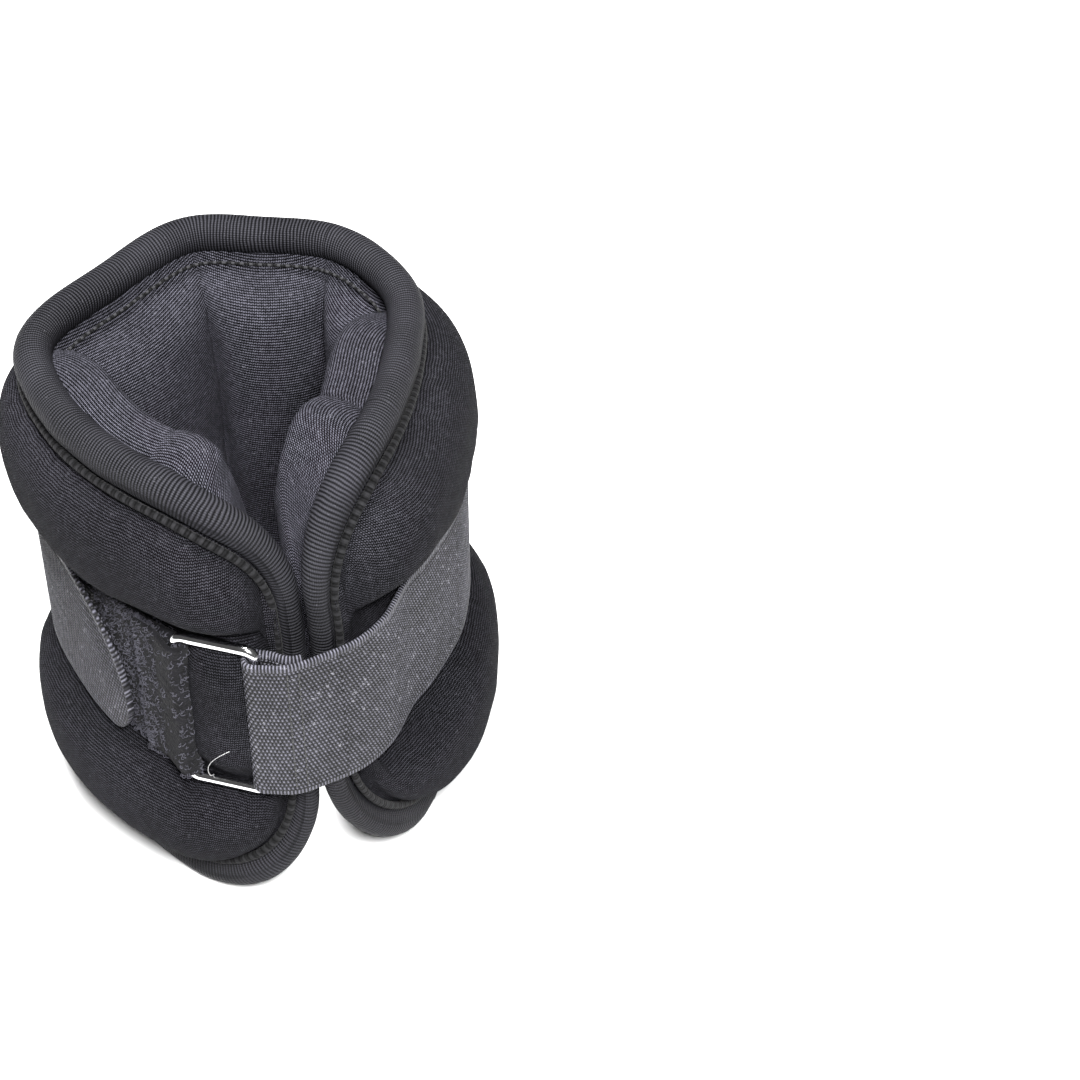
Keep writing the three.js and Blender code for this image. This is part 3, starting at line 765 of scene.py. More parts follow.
COLUMN_STEP = 1.5 * MM
COVER_THICKNESS = 2.2 * MM
LINING_THICKNESS = 1.8 * MM
END_CLEARANCE = 0.1 * MM
RELIEF_FADE = 10 * MM  # bumps and puckers fade out over this distance from the rim
# How many points there are between one point of a section and the next.
COVER_STEPS = [3, 5, 6, 7, 6, 5, 4, 5, 5, 5, 3, 4, 4, 5, 6, 7, 6, 5, 3]
LINING_STEPS = [3, 8, 6, 8, 10, 8, 6, 8, 3]
# Soft bumps: the size of their features, seed and depth.
COVER_BUMPS = [(26 * MM, 0.0, 0.7 * MM), (11 * MM, 3.0, 0.25 * MM)]
LINING_BUMPS = [(22 * MM, 5.0, 0.9 * MM), (9 * MM, 9.0, 0.3 * MM)]
# Puckers beside a crease: squeeze along x, y and z, size, seed, depth and how far they reach.
COVER_PUCKERS = ((1, 1, 0.12), 4.5 * MM, 7.0, 0.5 * MM, 7 * MM)
LINING_PUCKERS = ((0.4, 0.4, 1), 5 * MM, 11.0, 0.7 * MM, 6 * MM)


def columns():
    """Distances along the sheet, with one at each end of each zone."""
    parts = [np.linspace(start, end, round((end - start) / COLUMN_STEP)) for _, start, end, _ in ZONES]
    first = TUCK + END_CLEARANCE
    return np.unique(np.clip(np.concatenate(parts), first, LENGTH - first))


def section_shares(steps):
    """Shares of a curve's t, with a given number of steps in each interval between its points."""
    marks = [i + np.arange(count) / count for i, count in enumerate(steps)]
    return np.concatenate([*marks, [len(steps)]]) / len(steps)


def relief(grid, bumps, puckers, from_crease):
    squeeze, size, seed, depth, reach = puckers
    soft = sum(rough(grid, bump_size, bump_seed) * high for bump_size, bump_seed, high in bumps)
    return soft + rough(grid * np.array(squeeze), size, seed) * depth * np.exp(-from_crease / reach)


def cover_relief(s, grid):
    """The cover is puckered beside the strap, which pulls it in."""
    from_strap = np.maximum(0, np.abs(grid[..., 2] - MIDDLE_Z) - WAIST_HALF)
    return relief(grid, COVER_BUMPS, COVER_PUCKERS, from_strap)


def lining_relief(s, grid):
    """The lining is puckered beside its seams."""
    from_seam = np.min(np.abs(s[:, None] - SEAMS[None, 1:-1]), axis=1)[:, None]
    return relief(grid, LINING_BUMPS, LINING_PUCKERS, from_seam)


def cloth_uv(s, grid):
    """Distances over the cloth: along it averaged over its height, and up it from its middle."""
    across = np.linalg.norm(np.diff(grid, axis=0), axis=-1).mean(1)
    u = np.concatenate([[0], np.cumsum(across)])
    up = np.linalg.norm(np.diff(grid, axis=1), axis=-1)
    v = np.concatenate([np.zeros((len(s), 1)), np.cumsum(up, axis=1)], 1)
    v -= v[:, [grid.shape[1] // 2]]
    return np.stack([np.broadcast_to(u[:, None], v.shape), v], -1)


def build_panels(kind, line_at, steps, side, relief_at, thickness, material):
    """The cover or the lining: one grid over the whole sheet, cut into a piece for each zone."""
    s = columns()
    shares = section_shares(steps)
    sections = np.array([curve(line_at(x))(shares) for x in s])
    grid = place(s[:, None], sections[..., 0], sections[..., 1])
    normals = surface_normals(grid)
    column, row = len(s) // 2, len(shares) // 2
    normals *= side * np.sign(normals[column, row] @ np.append(along(s[column])[2], 0))
    inside = smooth((RIM_HALF - PANEL_INSET - np.abs(grid[..., 2] - MIDDLE_Z)) / RELIEF_FADE)
    grid = grow(grid, relief_at(s, grid) * inside, normals)
    rough_normals = surface_normals(grid)
    normals = rough_normals * np.sign((rough_normals * normals).sum(-1, keepdims=True))
    uv = cloth_uv(s, grid)
    for zone, start, end, channels in ZONES:
        own = np.where((s >= start - TINY) & (s <= end + TINY))[0]
        part = slice(own[0], own[-1] + 1)
        piece = cloth_piece(f"{kind}_{zone}", grid[part], normals[part], uv[part], thickness, material)
        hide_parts(*[f"{channel}_{kind}" for channel in channels])
        attach(piece, zone)


def build_cover():
    build_panels("cover", cover_line, COVER_STEPS, 1, cover_relief, COVER_THICKNESS, COVER_KNIT)


def build_lining():
    build_panels("lining", lining_line, LINING_STEPS, -1, lining_relief, LINING_THICKNESS, LINING_KNIT)


# ---- Rim: a rolled binding, a hem ridge beside it on the cover, and a thin cord beside it on the lining ----

RIM_STEP = 1.6 * MM
RIM_SIDES = 28
END_STEPS = 14  # down the upright part of an end
END_SHARE = END_RIM_RADIUS / RIM_RADIUS
ROLL_RADIUS = 5.3 * MM
ROLL_SHIFT = 0.9 * MM
RIM_BUMP_SIZE = 14 * MM
RIM_BUMP_DEPTH = 0.25 * MM
HEM_RADIUS = 1.15 * MM
HEM_AT = (5.2 * MM, 5.0 * MM)  # out from the rim's centre line, and in from it over the panel
CORD_RADIUS = 0.42 * MM
CORD_AT = (-5.2 * MM, 5.2 * MM)
CORD_SIDES = 8
CORD_PINCH = 0.03
STITCH_POINTS = 4


def end_route(seam, lower):
    """Distance from the end, rise from the middle and outward angle, along the top, round an end and back."""

    def straight(radius):
        d = np.linspace(seam, radius, max(2, round((seam - radius) / RIM_STEP)))[:-1]
        return np.stack([d, np.full_like(d, RIM_HALF), np.full_like(d, math.pi / 2)], -1)

    def corner(radius):
        angle = np.linspace(math.pi / 2, 0, round(radius * math.pi / 2 / RIM_STEP))
        return np.stack([radius * (1 - np.cos(angle)), RIM_HALF - radius * (1 - np.sin(angle)), angle], -1)

    upper = np.vstack([straight(UPPER_CORNER), corner(UPPER_CORNER)])
    below = np.vstack([straight(lower), corner(lower)]) if lower < seam else corner(lower)
    below = below * np.array([1, -1, -1])
    side = np.linspace(upper[-1, 1], below[-1, 1], END_STEPS)[1:-1]
    middle = np.stack([np.zeros_like(side), side, np.zeros_like(side)], -1)
    return np.vstack([upper, middle, below[::-1]])


def rim_stretches(zone, start, end):
    """The rim's routes in one zone, each with the end of its name and whether it starts at the left end."""
    if zone == "left":
        return [("", end_route(end, LEFT_LOWER_CORNER), True)]
    if zone == "right":
        return [("", end_route(LENGTH - start, RIGHT_LOWER_CORNER), False)]
    s = np.linspace(start, end, round((end - start) / RIM_STEP))
    top = np.stack([s, np.full_like(s, RIM_HALF), np.full_like(s, math.pi / 2)], -1)
    return [("_upper", top, True), ("_lower", top * np.array([1, -1, -1]), True)]


def finer(route, step):
    """The same route with points that are closer together."""
    length = lengths_along(route[:, :2])
    at = np.linspace(0, length[-1], round(length[-1] / step))
    return np.stack([np.interp(at, length, column) for column in route.T], -1)


def rim_rings(route, is_left, out, inward, radius_at, sides):
    """Rings of points round a line that runs beside the rim's centre line."""
    d, rise, angle = route.T[..., None]
    share = np.abs(np.sin(angle))
    radius = radius_at(share)
    shift = mix(END_SHARE, 1, share)
    turn = np.linspace(0, 2 * math.pi, sides, endpoint=False)[None]
    away = radius * np.sin(turn) - inward * shift
    in_sheet = d - away * np.cos(angle)
    s = in_sheet if is_left else LENGTH - in_sheet
    z = MIDDLE_Z + rise + away * np.sin(angle)
    return place(s, out * shift + radius * np.cos(turn), z)


def ring_uv(rings, radius):
    u = lengths_along(rings.mean(1))
    v = np.linspace(0, 2 * math.pi * radius, rings.shape[1])
    return np.stack(np.broadcast_arrays(u[:, None], v[None]), -1)


def ring_normals(rings):
    return unit(rings - rings.mean(1, keepdims=True))


def rim_radius(share):
    return ROLL_RADIUS * mix(END_SHARE, 1, share)


def stitched_cord(name, route, is_left, at, radius, zone, material):
    """A thin cord beside the rim, pinched in a little by each stitch that holds it."""
    route = finer(route, STITCH * MM / STITCH_POINTS)
    beat = np.arange(len(route))[:, None] / STITCH_POINTS * 2 * math.pi
    pinched = radius * (1 + CORD_PINCH * np.cos(beat))
    rings = rim_rings(route, is_left, *at, lambda share: pinched, CORD_SIDES)
    normals = ring_normals(rings)
    rings[..., 2] = np.maximum(rings[..., 2], 0)
    piece = tube_piece(name, rings, ring_uv(rings, radius), material, normals=normals)
    attach(piece, zone)


def rim_nodes(zone, suffix, channels):
    """The CAD rims that one stretch stands for."""
    if zone in ("left", "right"):
        inner = [f"{c}{edge}" for c in channels if not c.endswith("_end") for edge in ("_upper", "_lower")]
        return [f"{zone}_end_rim"] + [f"{name}_rim" for name in inner]
    return [f"{c}{suffix}_rim" for c in channels]


def build_rim():
    for zone, start, end, channels in ZONES:
        for suffix, route, is_left in rim_stretches(zone, start, end):
            rings = rim_rings(route, is_left, ROLL_SHIFT, -ROLL_SHIFT, rim_radius, RIM_SIDES)
            normals = ring_normals(rings)
            rings = grow(rings, rough(rings, RIM_BUMP_SIZE) * RIM_BUMP_DEPTH, normals)
            rings[..., 2] = np.maximum(rings[..., 2], 0)
            uv = ring_uv(rings, ROLL_RADIUS)
            piece = tube_piece(f"rim_{zone}{suffix}", rings, uv, RIM_FABRIC, normals=normals)
            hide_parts(*rim_nodes(zone, suffix, channels))
            attach(piece, zone)
            stitched_cord(f"hem_{zone}{suffix}", route, is_left, HEM_AT, HEM_RADIUS, zone, HEM_FABRIC)
            stitched_cord(f"cord_{zone}{suffix}", route, is_left, CORD_AT, CORD_RADIUS, zone, CORD_THREAD)


# ---- Ring ----

WIRE_SIDES = 24
CORNER_ANGLES = np.linspace(0, math.pi / 2, 9)

base_point, base_travel, base_out = along(RING_AT)
ring_out = stand_off(RING_AT)[0] + LIE_GAP + BAND_THICKNESS + GAP + WIRE_RADIUS
left_bar = base_point + base_out * ring_out
turned = np.array([[math.cos(RING_TURN), -math.sin(RING_TURN)], [math.sin(RING_TURN), math.cos(RING_TURN)]])
ring_direction = turned @ -base_travel
ring_outward = np.array([ring_direction[1], -ring_direction[0]])
right_bar = left_bar + ring_direction * RING_SPAN


def build_ring():
    centre = (left_bar + right_bar) / 2
    width = RING_SPAN / 2 - RING_CORNER
    height = RING_HALF_HEIGHT - RING_CORNER
    rings = []
    around = np.linspace(0, 2 * math.pi, WIRE_SIDES, endpoint=False)
    reach = RING_CORNER + WIRE_RADIUS * np.cos(around)
    out = WIRE_RADIUS * np.sin(around)
    corners = [(width, height), (-width, height), (-width, -height), (width, -height)]
    for i, (x, z) in enumerate(corners):
        for angle in CORNER_ANGLES + i * math.pi / 2:
            across = x + reach * math.cos(angle)
            at = centre + ring_direction * across[:, None] + ring_outward * out[:, None]
            rings.append(np.column_stack([at, MIDDLE_Z + z + reach * math.sin(angle)]))
    rings = np.array(rings)
    piece = tube_piece("ring_wire", rings, ring_uv(rings, WIRE_RADIUS), CHROME, closed=True)
    settle(piece, "ring", "chrome", "ring")


# ---- Strap ----

WEBBING_STEP = 1.3 * MM
WEAVE_DEPTH = 0.13 * MM
ACROSS = (150, 30)  # points over the front and over the back
EDGE_ROUNDING = 0.035  # share of a band's half width
EDGE_CROWDING = 0.12  # how far the points across a band are drawn towards its edges
SELVEDGE_BLEND = 0.3 * MM
TIP_SELVEDGE_BLEND = 0.5 * MM
FOLD_STEPS = 14
TIP_TRIM = 0.1 * MM  # the webbing ends this much before the point where its two edges meet
TIP_CROWDING = 1.7  # more than 1 puts the points closer together towards the rounded end
STRAP_DIVISIONS = 1000
STRAP_SPLITS = MM * np.array([24, 88, 177, 264])
STRAP_BODIES = ["strap_front", "strap_right", "strap_back", "strap_left", "strap_tip"]
STRAP_BEND_HALF = 7 * MM


def strap_out(s):
    """How far out the strap's middle runs, over the cover, the loop-pile band and the hook patch."""
    over_band = smooth((BAND_END + BAND_RAMP - s) / BAND_RAMP) * (BAND_THICKNESS + GAP)
    over_patch = smooth((PATCH_FROM + PATCH_RAMP - s) / PATCH_RAMP) * (PATCH_THICKNESS + GAP)
    peel = PEEL * clamp((PEEL_FROM - s) / (PEEL_FROM - TIP_AT)) ** 2
    return stand_off(s)[0] + LIE_GAP + STRAP_THICKNESS / 2 + over_band + over_patch + peel


def stations(start, end, step):
    return np.linspace(start, end, max(1, math.ceil(abs(end - start) / step)) + 1)


def out_from_sheet(s, out):
    point, _, outward = along(s)
    return point + outward * out[..., None]


fold_radius = WIRE_RADIUS + GAP + STRAP_THICKNESS / 2
landed = stations(LENGTH - STRAP_LANDS, TIP_AT, STRAP_STEP)
strap = Line(np.vstack([
    right_bar + np.array([0, -fold_radius]),
    STRAP_FREE - ORIGIN,
    out_from_sheet(landed, strap_out(landed)),
]), STRAP_DIVISIONS)


def side_of(line):
    """Unit vectors to the right of a line in plan, seen along its direction of travel."""
    travel = unit(np.gradient(line, axis=0))
    return np.stack([travel[:, 1], -travel[:, 0]], -1)


def band_section(front, back):
    """Outline of a flat band: side from -1 to 1 and height from -1 to 1, round at its two edges."""

    def face(count):
        even = np.linspace(-1, 1, count)
        height = mix(even, np.sin(even * math.pi / 2), EDGE_CROWDING)
        into = clamp((np.abs(height) - 1 + EDGE_ROUNDING) / EDGE_ROUNDING)
        return np.column_stack([np.sqrt(1 - into**2), height])

    return np.concatenate([face(front), (face(back) * np.array([-1, 1]))[-2:0:-1]])


def band_piece(name, line, rises, thickness, counts, material, start=0.0, relief=None):
    """A band that stands on edge along a line in plan. Relief moves its faces out by (distance, rise)."""
    section = band_section(*counts)
    side = side_of(line)
    low, high = rises
    rise = mix(low[:, None], high[:, None], (section[None, :, 1] + 1) / 2)
    distance = start + lengths_along(line)
    half = np.broadcast_to(thickness / 2 * section[None, :, 0], rise.shape)
    if relief is not None:
        half = half + np.sign(section[None, :, 0]) * relief(distance[:, None], rise)
    points = line[:, None] + side[:, None] * half[..., None]
    rings = np.concatenate([points, (MIDDLE_Z + rise)[..., None]], -1)
    uv = np.stack(np.broadcast_arrays(distance[:, None], rise), -1)
    return tube_piece(name, rings, uv, material)


def same_rise(line, half):
    return np.full(len(line), -half), np.full(len(line), half)


def tip_rises(distances):
    """Lower and upper edge of the tip, which is cut round."""
    above = clamp(1 - (strap.length - distances) / TIP_UPPER_LENGTH)
    below = clamp(1 - (strap.length - distances) / TIP_LOWER_LENGTH)
    low = TIP_RISE - (STRAP_WIDTH / 2 + TIP_RISE) * np.sqrt(1 - below**2)
    high = TIP_RISE + (STRAP_WIDTH / 2 - TIP_RISE) * np.sqrt(1 - above**2)
    return low, high


def weave(_distance, rise):
    """Low ridges along the strap, and a flat selvedge a little thicker than the rest."""
    ridge = np.cos(2 * math.pi * (rise / MM / ROW - 0.5))
    inside = smooth((STRAP_WIDTH / 2 - np.abs(rise) - SELVEDGE * MM) / SELVEDGE_BLEND)
    return WEAVE_DEPTH * (ridge * inside + (1 - inside))


def tip_weave(distance, rise):
    """The same weave, with its selvedge along the tip's rounded edge."""
    low, high = tip_rises(distance)
    inside = smooth((np.minimum(high - rise, rise - low) - SELVEDGE * MM) / TIP_SELVEDGE_BLEND)
    return weave(distance, rise) * inside + WEAVE_DEPTH * (1 - inside)


def half_turn(centre, start_axis, middle_axis, radius, steps):
    angle = np.linspace(0, math.pi, steps)[:, None]
    return centre + radius * (start_axis * np.cos(angle) + middle_axis * np.sin(angle))


def webbing_piece(name, line, rises, start, relief, node):
    piece = band_piece(name, line, rises, STRAP_THICKNESS, ACROSS, WEBBING, start, relief)
    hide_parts(node)
    return piece


def strap_bend(piece, joint):
    """The piece that holds one of the strap's hinges has its transform baked into its mesh."""
    at = strap.point(STRAP_JOINTS[joint] + STRAP_BEND_HALF * np.array([-1, 1]))
    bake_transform(piece)


def build_strap_start():
    """The sewn end: in front of the ring's bar, round it and back on the inner side."""
    turn = half_turn(right_bar, np.array([0, 1]), np.array([-1, 0]), fold_radius, FOLD_STEPS)
    distances = stations(FOLD_LENGTH, FOLD_LENGTH / 4, WEBBING_STEP)
    outer = strap.point(distances)
    apart = mix(STRAP_THICKNESS + GAP, 2 * fold_radius, smooth(1 - distances / FOLD_LENGTH))
    inner = outer + side_of(outer) * apart[:, None]
    front = strap.point(stations(0, STRAP_SPLITS[0], WEBBING_STEP))[1:]
    line = np.vstack([inner, turn, front])
    start = STRAP_SPLITS[0] - lengths_along(line)[-1]
    rises = same_rise(line, STRAP_WIDTH / 2)
    piece = webbing_piece("strap_fold", line, rises, start, weave, "strap_front")
    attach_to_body(piece, "strap_front")


def build_strap():
    ends = np.append(STRAP_SPLITS, strap.length - TIP_TRIM)
    for i, part in enumerate(["side", "back", "turn"]):
        line = strap.point(stations(ends[i], ends[i + 1], WEBBING_STEP))
        rises = same_rise(line, STRAP_WIDTH / 2)
        piece = webbing_piece(f"strap_{part}_webbing", line, rises, ends[i], weave, STRAP_BODIES[i + 1])
        strap_bend(piece, i)
    start, end = ends[-2:]
    left = (end - stations(start, end, WEBBING_STEP)) / (end - start)
    distances = end - (end - start) * left**TIP_CROWDING
    line = strap.point(distances)
    piece = webbing_piece("strap_tip_webbing", line, tip_rises(distances), start, tip_weave, "strap_tip")
    strap_bend(piece, len(STRAP_JOINTS) - 1)


# ---- Hook patch, label and loop-pile band ----

PATCH_STEP = 1 * MM
PATCH_ACROSS = (30, 30)
LABEL_STEP = 0.8 * MM
LABEL_ACROSS = (30, 12)
BAND_STEP = 0.8 * MM
BAND_ACROSS = (70, 20)
BAND_FOLD_STEPS = 12
MAT_SIZE = 1.7 * MM
MAT_DEPTH = 0.8 * MM
MAT_SEED = 2.0


def patch(name, distances, side, half, across, material):
    """A flat patch on the strap's outer side, or on its inner side where side is -1."""
    line = strap.point(distances)
    line = line + side * side_of(line) * ((STRAP_THICKNESS + PATCH_THICKNESS) / 2 + GAP)
    return band_piece(name, line, same_rise(line, half), PATCH_THICKNESS, across, material)


def build_hook_patch():
    distances = stations(STRAP_JOINTS[3] + PATCH_MARGIN, strap.length - TIP_UPPER_LENGTH / 2, PATCH_STEP)
    piece = patch("hook_tape", distances, -1, PATCH_HALF, PATCH_ACROSS, HOOK)
    settle(piece, "strap_tip", "hook", "hook_patch")


def build_label():
    piece = patch("label_cloth", stations(*LABEL, LABEL_STEP), 1, LABEL_HALF, LABEL_ACROSS, LABEL_TWILL)
    settle(piece, "strap_back", "label", "label_patch")


def matted(distance, rise):
    points = np.stack(np.broadcast_arrays(distance, rise, 0), -1)
    return np.abs(rough(points, MAT_SIZE, MAT_SEED)) * MAT_DEPTH


def build_pile_band():
    """The band lies on the cover, and its end is folded back over itself round the ring's left bar."""
    radius = WIRE_RADIUS + GAP + BAND_THICKNESS / 2
    turn = half_turn(left_bar, base_out, -base_travel, radius, BAND_FOLD_STEPS)
    folded = stations(RING_AT + FOLD_LENGTH, RING_AT + FOLD_LENGTH / 2, BAND_STEP)
    outer = out_from_sheet(folded, stand_off(folded)[0] + LIE_GAP + GAP + BAND_THICKNESS * 1.5)
    rest = stations(RING_AT + FOLD_LENGTH / 2, BAND_END, BAND_STEP)
    inner = out_from_sheet(rest, stand_off(rest)[0] + LIE_GAP + BAND_THICKNESS / 2)
    line = np.vstack([outer, turn, inner])
    rises = same_rise(line, STRAP_WIDTH / 2)
    piece = band_piece("loop_pile", line, rises, BAND_THICKNESS, BAND_ACROSS, PILE, relief=matted)
    settle(piece, "cuff_left", "pile", "loop_pile_band")
    random = np.random.default_rng(SEED)
    for name in ("pile_curls", "pile_fuzz"):
        build_curls(name, line, random)


# ---- Curls of pile, sewing and loose threads: many small tubes joined into one mesh ----

THREAD_SIDES = 5
THREAD_REFERENCE = np.array([0.31, 0.17, 0.93])  # a direction that no thread runs along


def thread_rings(line, radius):
    """Rings round a line of points in space."""
    travel = unit(np.gradient(line, axis=0))
    side = unit(np.cross(travel, THREAD_REFERENCE))
    up = np.cross(side, travel)
    turn = np.linspace(0, 2 * math.pi, THREAD_SIDES, endpoint=False)
    spread = side[:, None] * np.cos(turn)[None, :, None] + up[:, None] * np.sin(turn)[None, :, None]
    return line[:, None] + spread * radius


def threads_piece(name, lines, radius, material):
    points, faces, uv = [], [], []
    base = 0
    for line in lines:
        rings = thread_rings(line, radius)
        index = base + np.arange(rings.shape[0] * THREAD_SIDES).reshape(-1, THREAD_SIDES)
        beside = np.roll(index, -1, 1)
        faces += np.stack([index[:-1], beside[:-1], beside[1:], index[1:]], -1).reshape(-1, 4).tolist()
        faces += [index[0, ::-1].tolist(), index[-1].tolist()]
        points.append(rings.reshape(-1, 3))
        uv.append(ring_uv(rings, radius).reshape(-1, 2))
        base += rings.shape[0] * THREAD_SIDES
    return make_mesh(name, np.concatenate(points), faces, np.concatenate(uv), material)


CURLS_COUNT = 3500  # in each of two pieces
CURL_RADIUS = 0.1 * MM
CURL_CROWDING = 1.8  # more than 1 puts more of them near the ring, where the band shows
CURL_SIZE = MM * np.array([0.3, 0.75])
CURL_SIDES = [1, 1, 1, -1]  # three of four stand on the outer face
CURL_SPREAD = 1.02  # share of the band's half width
CURL_FOOT = 0.6 * BAND_THICKNESS
CURL_LEAN = 0.5
CURL_ANGLES = np.linspace(-0.2, math.pi * 1.25, 6)


def build_curls(name, line, random):
    """Small loops on the faces of the band and past its edges."""
    side = side_of(line)
    at = random.uniform(0, 1, CURLS_COUNT) ** CURL_CROWDING * (len(line) - 1.001)
    i = at.astype(int)
    w = (at - i)[:, None]
    out = unit(mix(side[i], side[i + 1], w)) * -random.choice(CURL_SIDES, CURLS_COUNT)[:, None]
    rise = random.uniform(-CURL_SPREAD, CURL_SPREAD, CURLS_COUNT) * STRAP_WIDTH / 2
    foot = np.column_stack([mix(line[i], line[i + 1], w) + out * CURL_FOOT, MIDDLE_Z + rise])
    out = np.column_stack([out, np.zeros(CURLS_COUNT)])
    lean = unit(random.normal(size=(CURLS_COUNT, 3)))
    across = unit(np.cross(out, lean))
    size = random.uniform(*CURL_SIZE, CURLS_COUNT)[:, None]
    lines = (foot[:, None]
             + across[:, None] * (size * np.cos(CURL_ANGLES))[..., None]
             + (out + CURL_LEAN * lean)[:, None] * (size * np.sin(CURL_ANGLES))[..., None])
    settle(threads_piece(name, lines, CURL_RADIUS, CURLS), "cuff_left", "pile")


STITCH_RADIUS = 0.22 * MM
STITCH_GAP = 0.28  # share of a stitch's length that is under the cloth
STITCH_SHARES = np.linspace(0, 1, 7)
STITCH_RISE = 0.3 * MM
STITCH_SINK = 0.12 * MM
LABEL_STITCH = 2.4 * MM
LABEL_STITCH_INSET = 1.8 * MM
FOLD_STITCH = 2.2 * MM
FOLD_STITCH_ROWS = MM * np.array([8.5, 11.5])
FOLD_STITCH_HALF = 22 * MM


def running_stitches(points, outs, length):
    """Short arched threads along a path of points, each with its outward direction."""
    total = lengths_along(points)
    count = max(1, round(total[-1] / length))
    arch = np.sin(math.pi * STITCH_SHARES)[:, None] * STITCH_RISE - STITCH_SINK
    lines = []
    for k in range(count):
        at = (k + mix(STITCH_GAP / 2, 1 - STITCH_GAP / 2, STITCH_SHARES)) * total[-1] / count
        where, out = (np.stack([np.interp(at, total, column) for column in values.T], -1)
                      for values in (points, outs))
        lines.append(where + out * arch)
    return lines


def on_strap(distances, rises, out):
    """Points on the strap's outer side and their outward directions."""
    distances, rises = np.broadcast_arrays(np.asarray(distances, float), np.asarray(rises, float))
    travel = strap.travel(distances)
    side = np.stack([travel[..., 1], -travel[..., 0]], -1)
    at = strap.point(distances) + side * out
    return np.column_stack([at, MIDDLE_Z + rises]), np.column_stack([side, np.zeros(len(at))])


def sewing(name, rows, out, length):
    """Rows of stitches on the strap, each row given by its distances along the strap and its rises."""
    lines = [line for row in rows for line in running_stitches(*on_strap(*row, out), length)]
    return threads_piece(name, lines, STITCH_RADIUS, BLACK_THREAD)


def build_label_stitches():
    out = STRAP_THICKNESS / 2 + GAP + PATCH_THICKNESS
    start, end = LABEL + LABEL_STITCH_INSET * np.array([1, -1])
    half = LABEL_HALF - LABEL_STITCH_INSET
    over = np.linspace(start, end, 60)
    up = np.linspace(-half, half, 30)
    sides = [(over, half), (over, -half), (start, up), (end, up)]
    settle(sewing("label_stitches", sides, out, LABEL_STITCH), "strap_back", "label")


def build_fold_stitches():
    """Two rows of sewing through both layers of the strap's folded end."""
    out = STRAP_THICKNESS / 2 + WEAVE_DEPTH
    up = np.linspace(-FOLD_STITCH_HALF, FOLD_STITCH_HALF, 40)
    rows = [(at, up) for at in FOLD_STITCH_ROWS]
    settle(sewing("fold_stitches", rows, out, FOLD_STITCH), "strap_front", "webbing")


FRAYED_ENDS = 9
FRAYED_FROM_TIP = MM * np.array([30, 42])
FRAYED_RISE = 24.6 * MM
FRAYED_OUT = 0.3 * MM
FRAYED_STEP = 0.5 * MM
FRAYED_WANDER = 0.12 * MM
FRAYED_WAY = np.array([-0.2, -0.4, 1])
FRAYED_RADIUS = 0.12 * MM
LOOSE_RADIUS = 0.09 * MM
LOOSE_FOOT = 0.3  # share of the way from the ring's left bar to its right bar
LOOSE_ACROSS = 9 * MM
LOOSE_RISE = 19 * MM
LOOSE_BOW = 3 * MM
LOOSE_OUT = 7 * MM


def build_frayed_ends(random):
    """Short black ends at the tip's upper corner."""
    lines = []
    for _ in range(FRAYED_ENDS):
        distance = strap.length - random.uniform(*FRAYED_FROM_TIP)
        start = on_strap([distance], [FRAYED_RISE], FRAYED_OUT)[0][0]
        step = unit(FRAYED_WAY + random.normal(size=3) * 0.5) * FRAYED_STEP
        lines.append(start + np.cumsum(random.normal(size=(8, 3)) * FRAYED_WANDER + step, axis=0))
    settle(threads_piece("tip_threads", lines, FRAYED_RADIUS, BLACK_THREAD), "strap_tip", "webbing")


def build_loose_thread():
    """One pale thread that stands up from the ring's lower bar."""
    t = np.linspace(0, 1, 16)[:, None]
    foot = np.append(mix(left_bar, right_bar, LOOSE_FOOT), MIDDLE_Z - RING_HALF_HEIGHT + WIRE_RADIUS)
    line = (foot
            + np.append(ring_direction * LOOSE_ACROSS, LOOSE_RISE) * t
            - np.append(ring_direction * LOOSE_BOW, 0) * np.sin(math.pi * t)
            + np.append(ring_outward * LOOSE_OUT, 0) * np.sqrt(t))
    piece = threads_piece("loose_thread", [line], LOOSE_RADIUS, PALE_THREAD)
    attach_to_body(piece, "ring")


# ---- Camera, floor and light ----

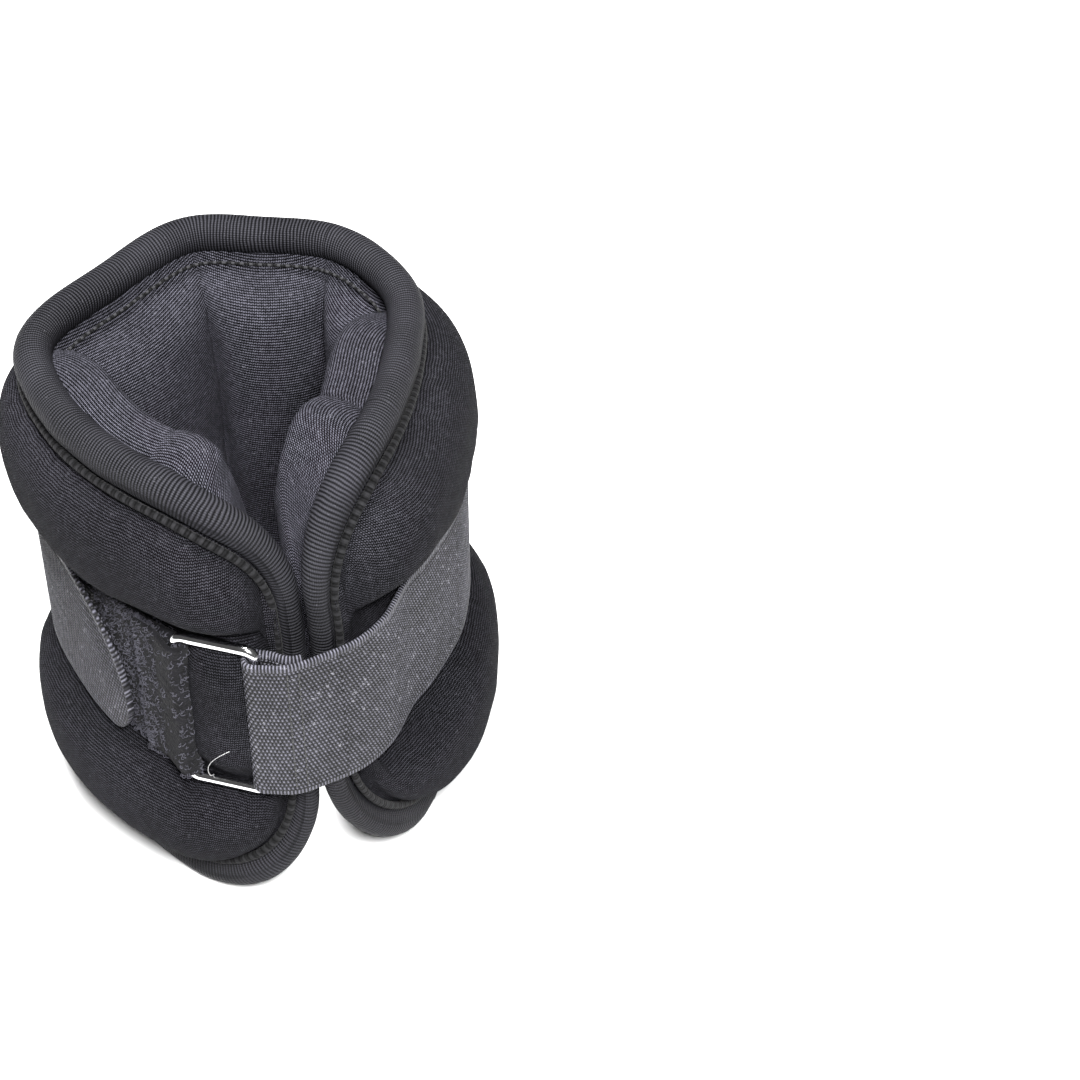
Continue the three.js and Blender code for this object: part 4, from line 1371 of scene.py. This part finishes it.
LENS = 88.33
SENSOR = 36
CAMERA_AT = (0.08233, -0.57554, 0.59642)
CAMERA_TILT = math.radians(48)
FLOOR_HALF = 4.0
FLOOR_COLOUR = (0.55, 0.55, 0.55, 1)
FLOOR_ROUGHNESS = 0.9
WORLD_STRENGTH = 0.1
# Name, place, diameter and watts.
LIGHTS = [("key", (0.2, -0.75, 1.0), 0.35, 70), ("top", (-0.15, 0.1, 1.5), 0.6, 72)]


def build_camera():
    data = bpy.data.cameras.new("camera")
    data.lens = LENS
    data.sensor_width = SENSOR
    camera = add_object("camera", data)
    camera.location = CAMERA_AT
    camera.rotation_euler = (CAMERA_TILT, 0, 0)
    bpy.context.scene.camera = camera


def build_floor():
    mesh = bpy.data.meshes.new("floor")
    half = FLOOR_HALF
    corners = [(-half, -half, 0), (half, -half, 0), (half, half, 0), (-half, half, 0)]
    mesh.from_pydata(corners, [], [(0, 1, 2, 3)])
    material = bpy.data.materials.new("floor")
    material.use_nodes = True
    shader = material.node_tree.nodes["Principled BSDF"]
    shader.inputs["Base Color"].default_value = FLOOR_COLOUR
    shader.inputs["Roughness"].default_value = FLOOR_ROUGHNESS
    mesh.materials.append(material)
    add_object("floor", mesh)


def area_light(name, location, size, power):
    data = bpy.data.lights.new(name, "AREA")
    data.shape = "DISK"
    data.size = size
    data.energy = power
    light = add_object(name, data)
    light.location = location
    light.rotation_euler = (Vector((0, 0, MIDDLE_Z)) - Vector(location)).to_track_quat("-Z", "Y").to_euler()


def build_light():
    world = bpy.data.worlds.new("studio")
    world.use_nodes = True
    background = world.node_tree.nodes["Background"]
    background.inputs["Color"].default_value = (1, 1, 1, 1)
    background.inputs["Strength"].default_value = WORLD_STRENGTH
    bpy.context.scene.world = world
    for light in LIGHTS:
        area_light(*light)
    bpy.context.scene.view_settings.view_transform = "Standard"


build_camera()
build_floor()
build_light()
build_cover()
build_lining()
build_rim()
build_ring()
build_strap_start()
build_strap()
build_hook_patch()
build_label()
build_pile_band()
build_label_stitches()
build_fold_stitches()
build_frayed_ends(np.random.default_rng(SEED))
build_loose_thread()

for name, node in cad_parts.items():
    if name.endswith("_weight_pouch"):
        for material_slot in node.material_slots:
            material_slot.material = POUCH
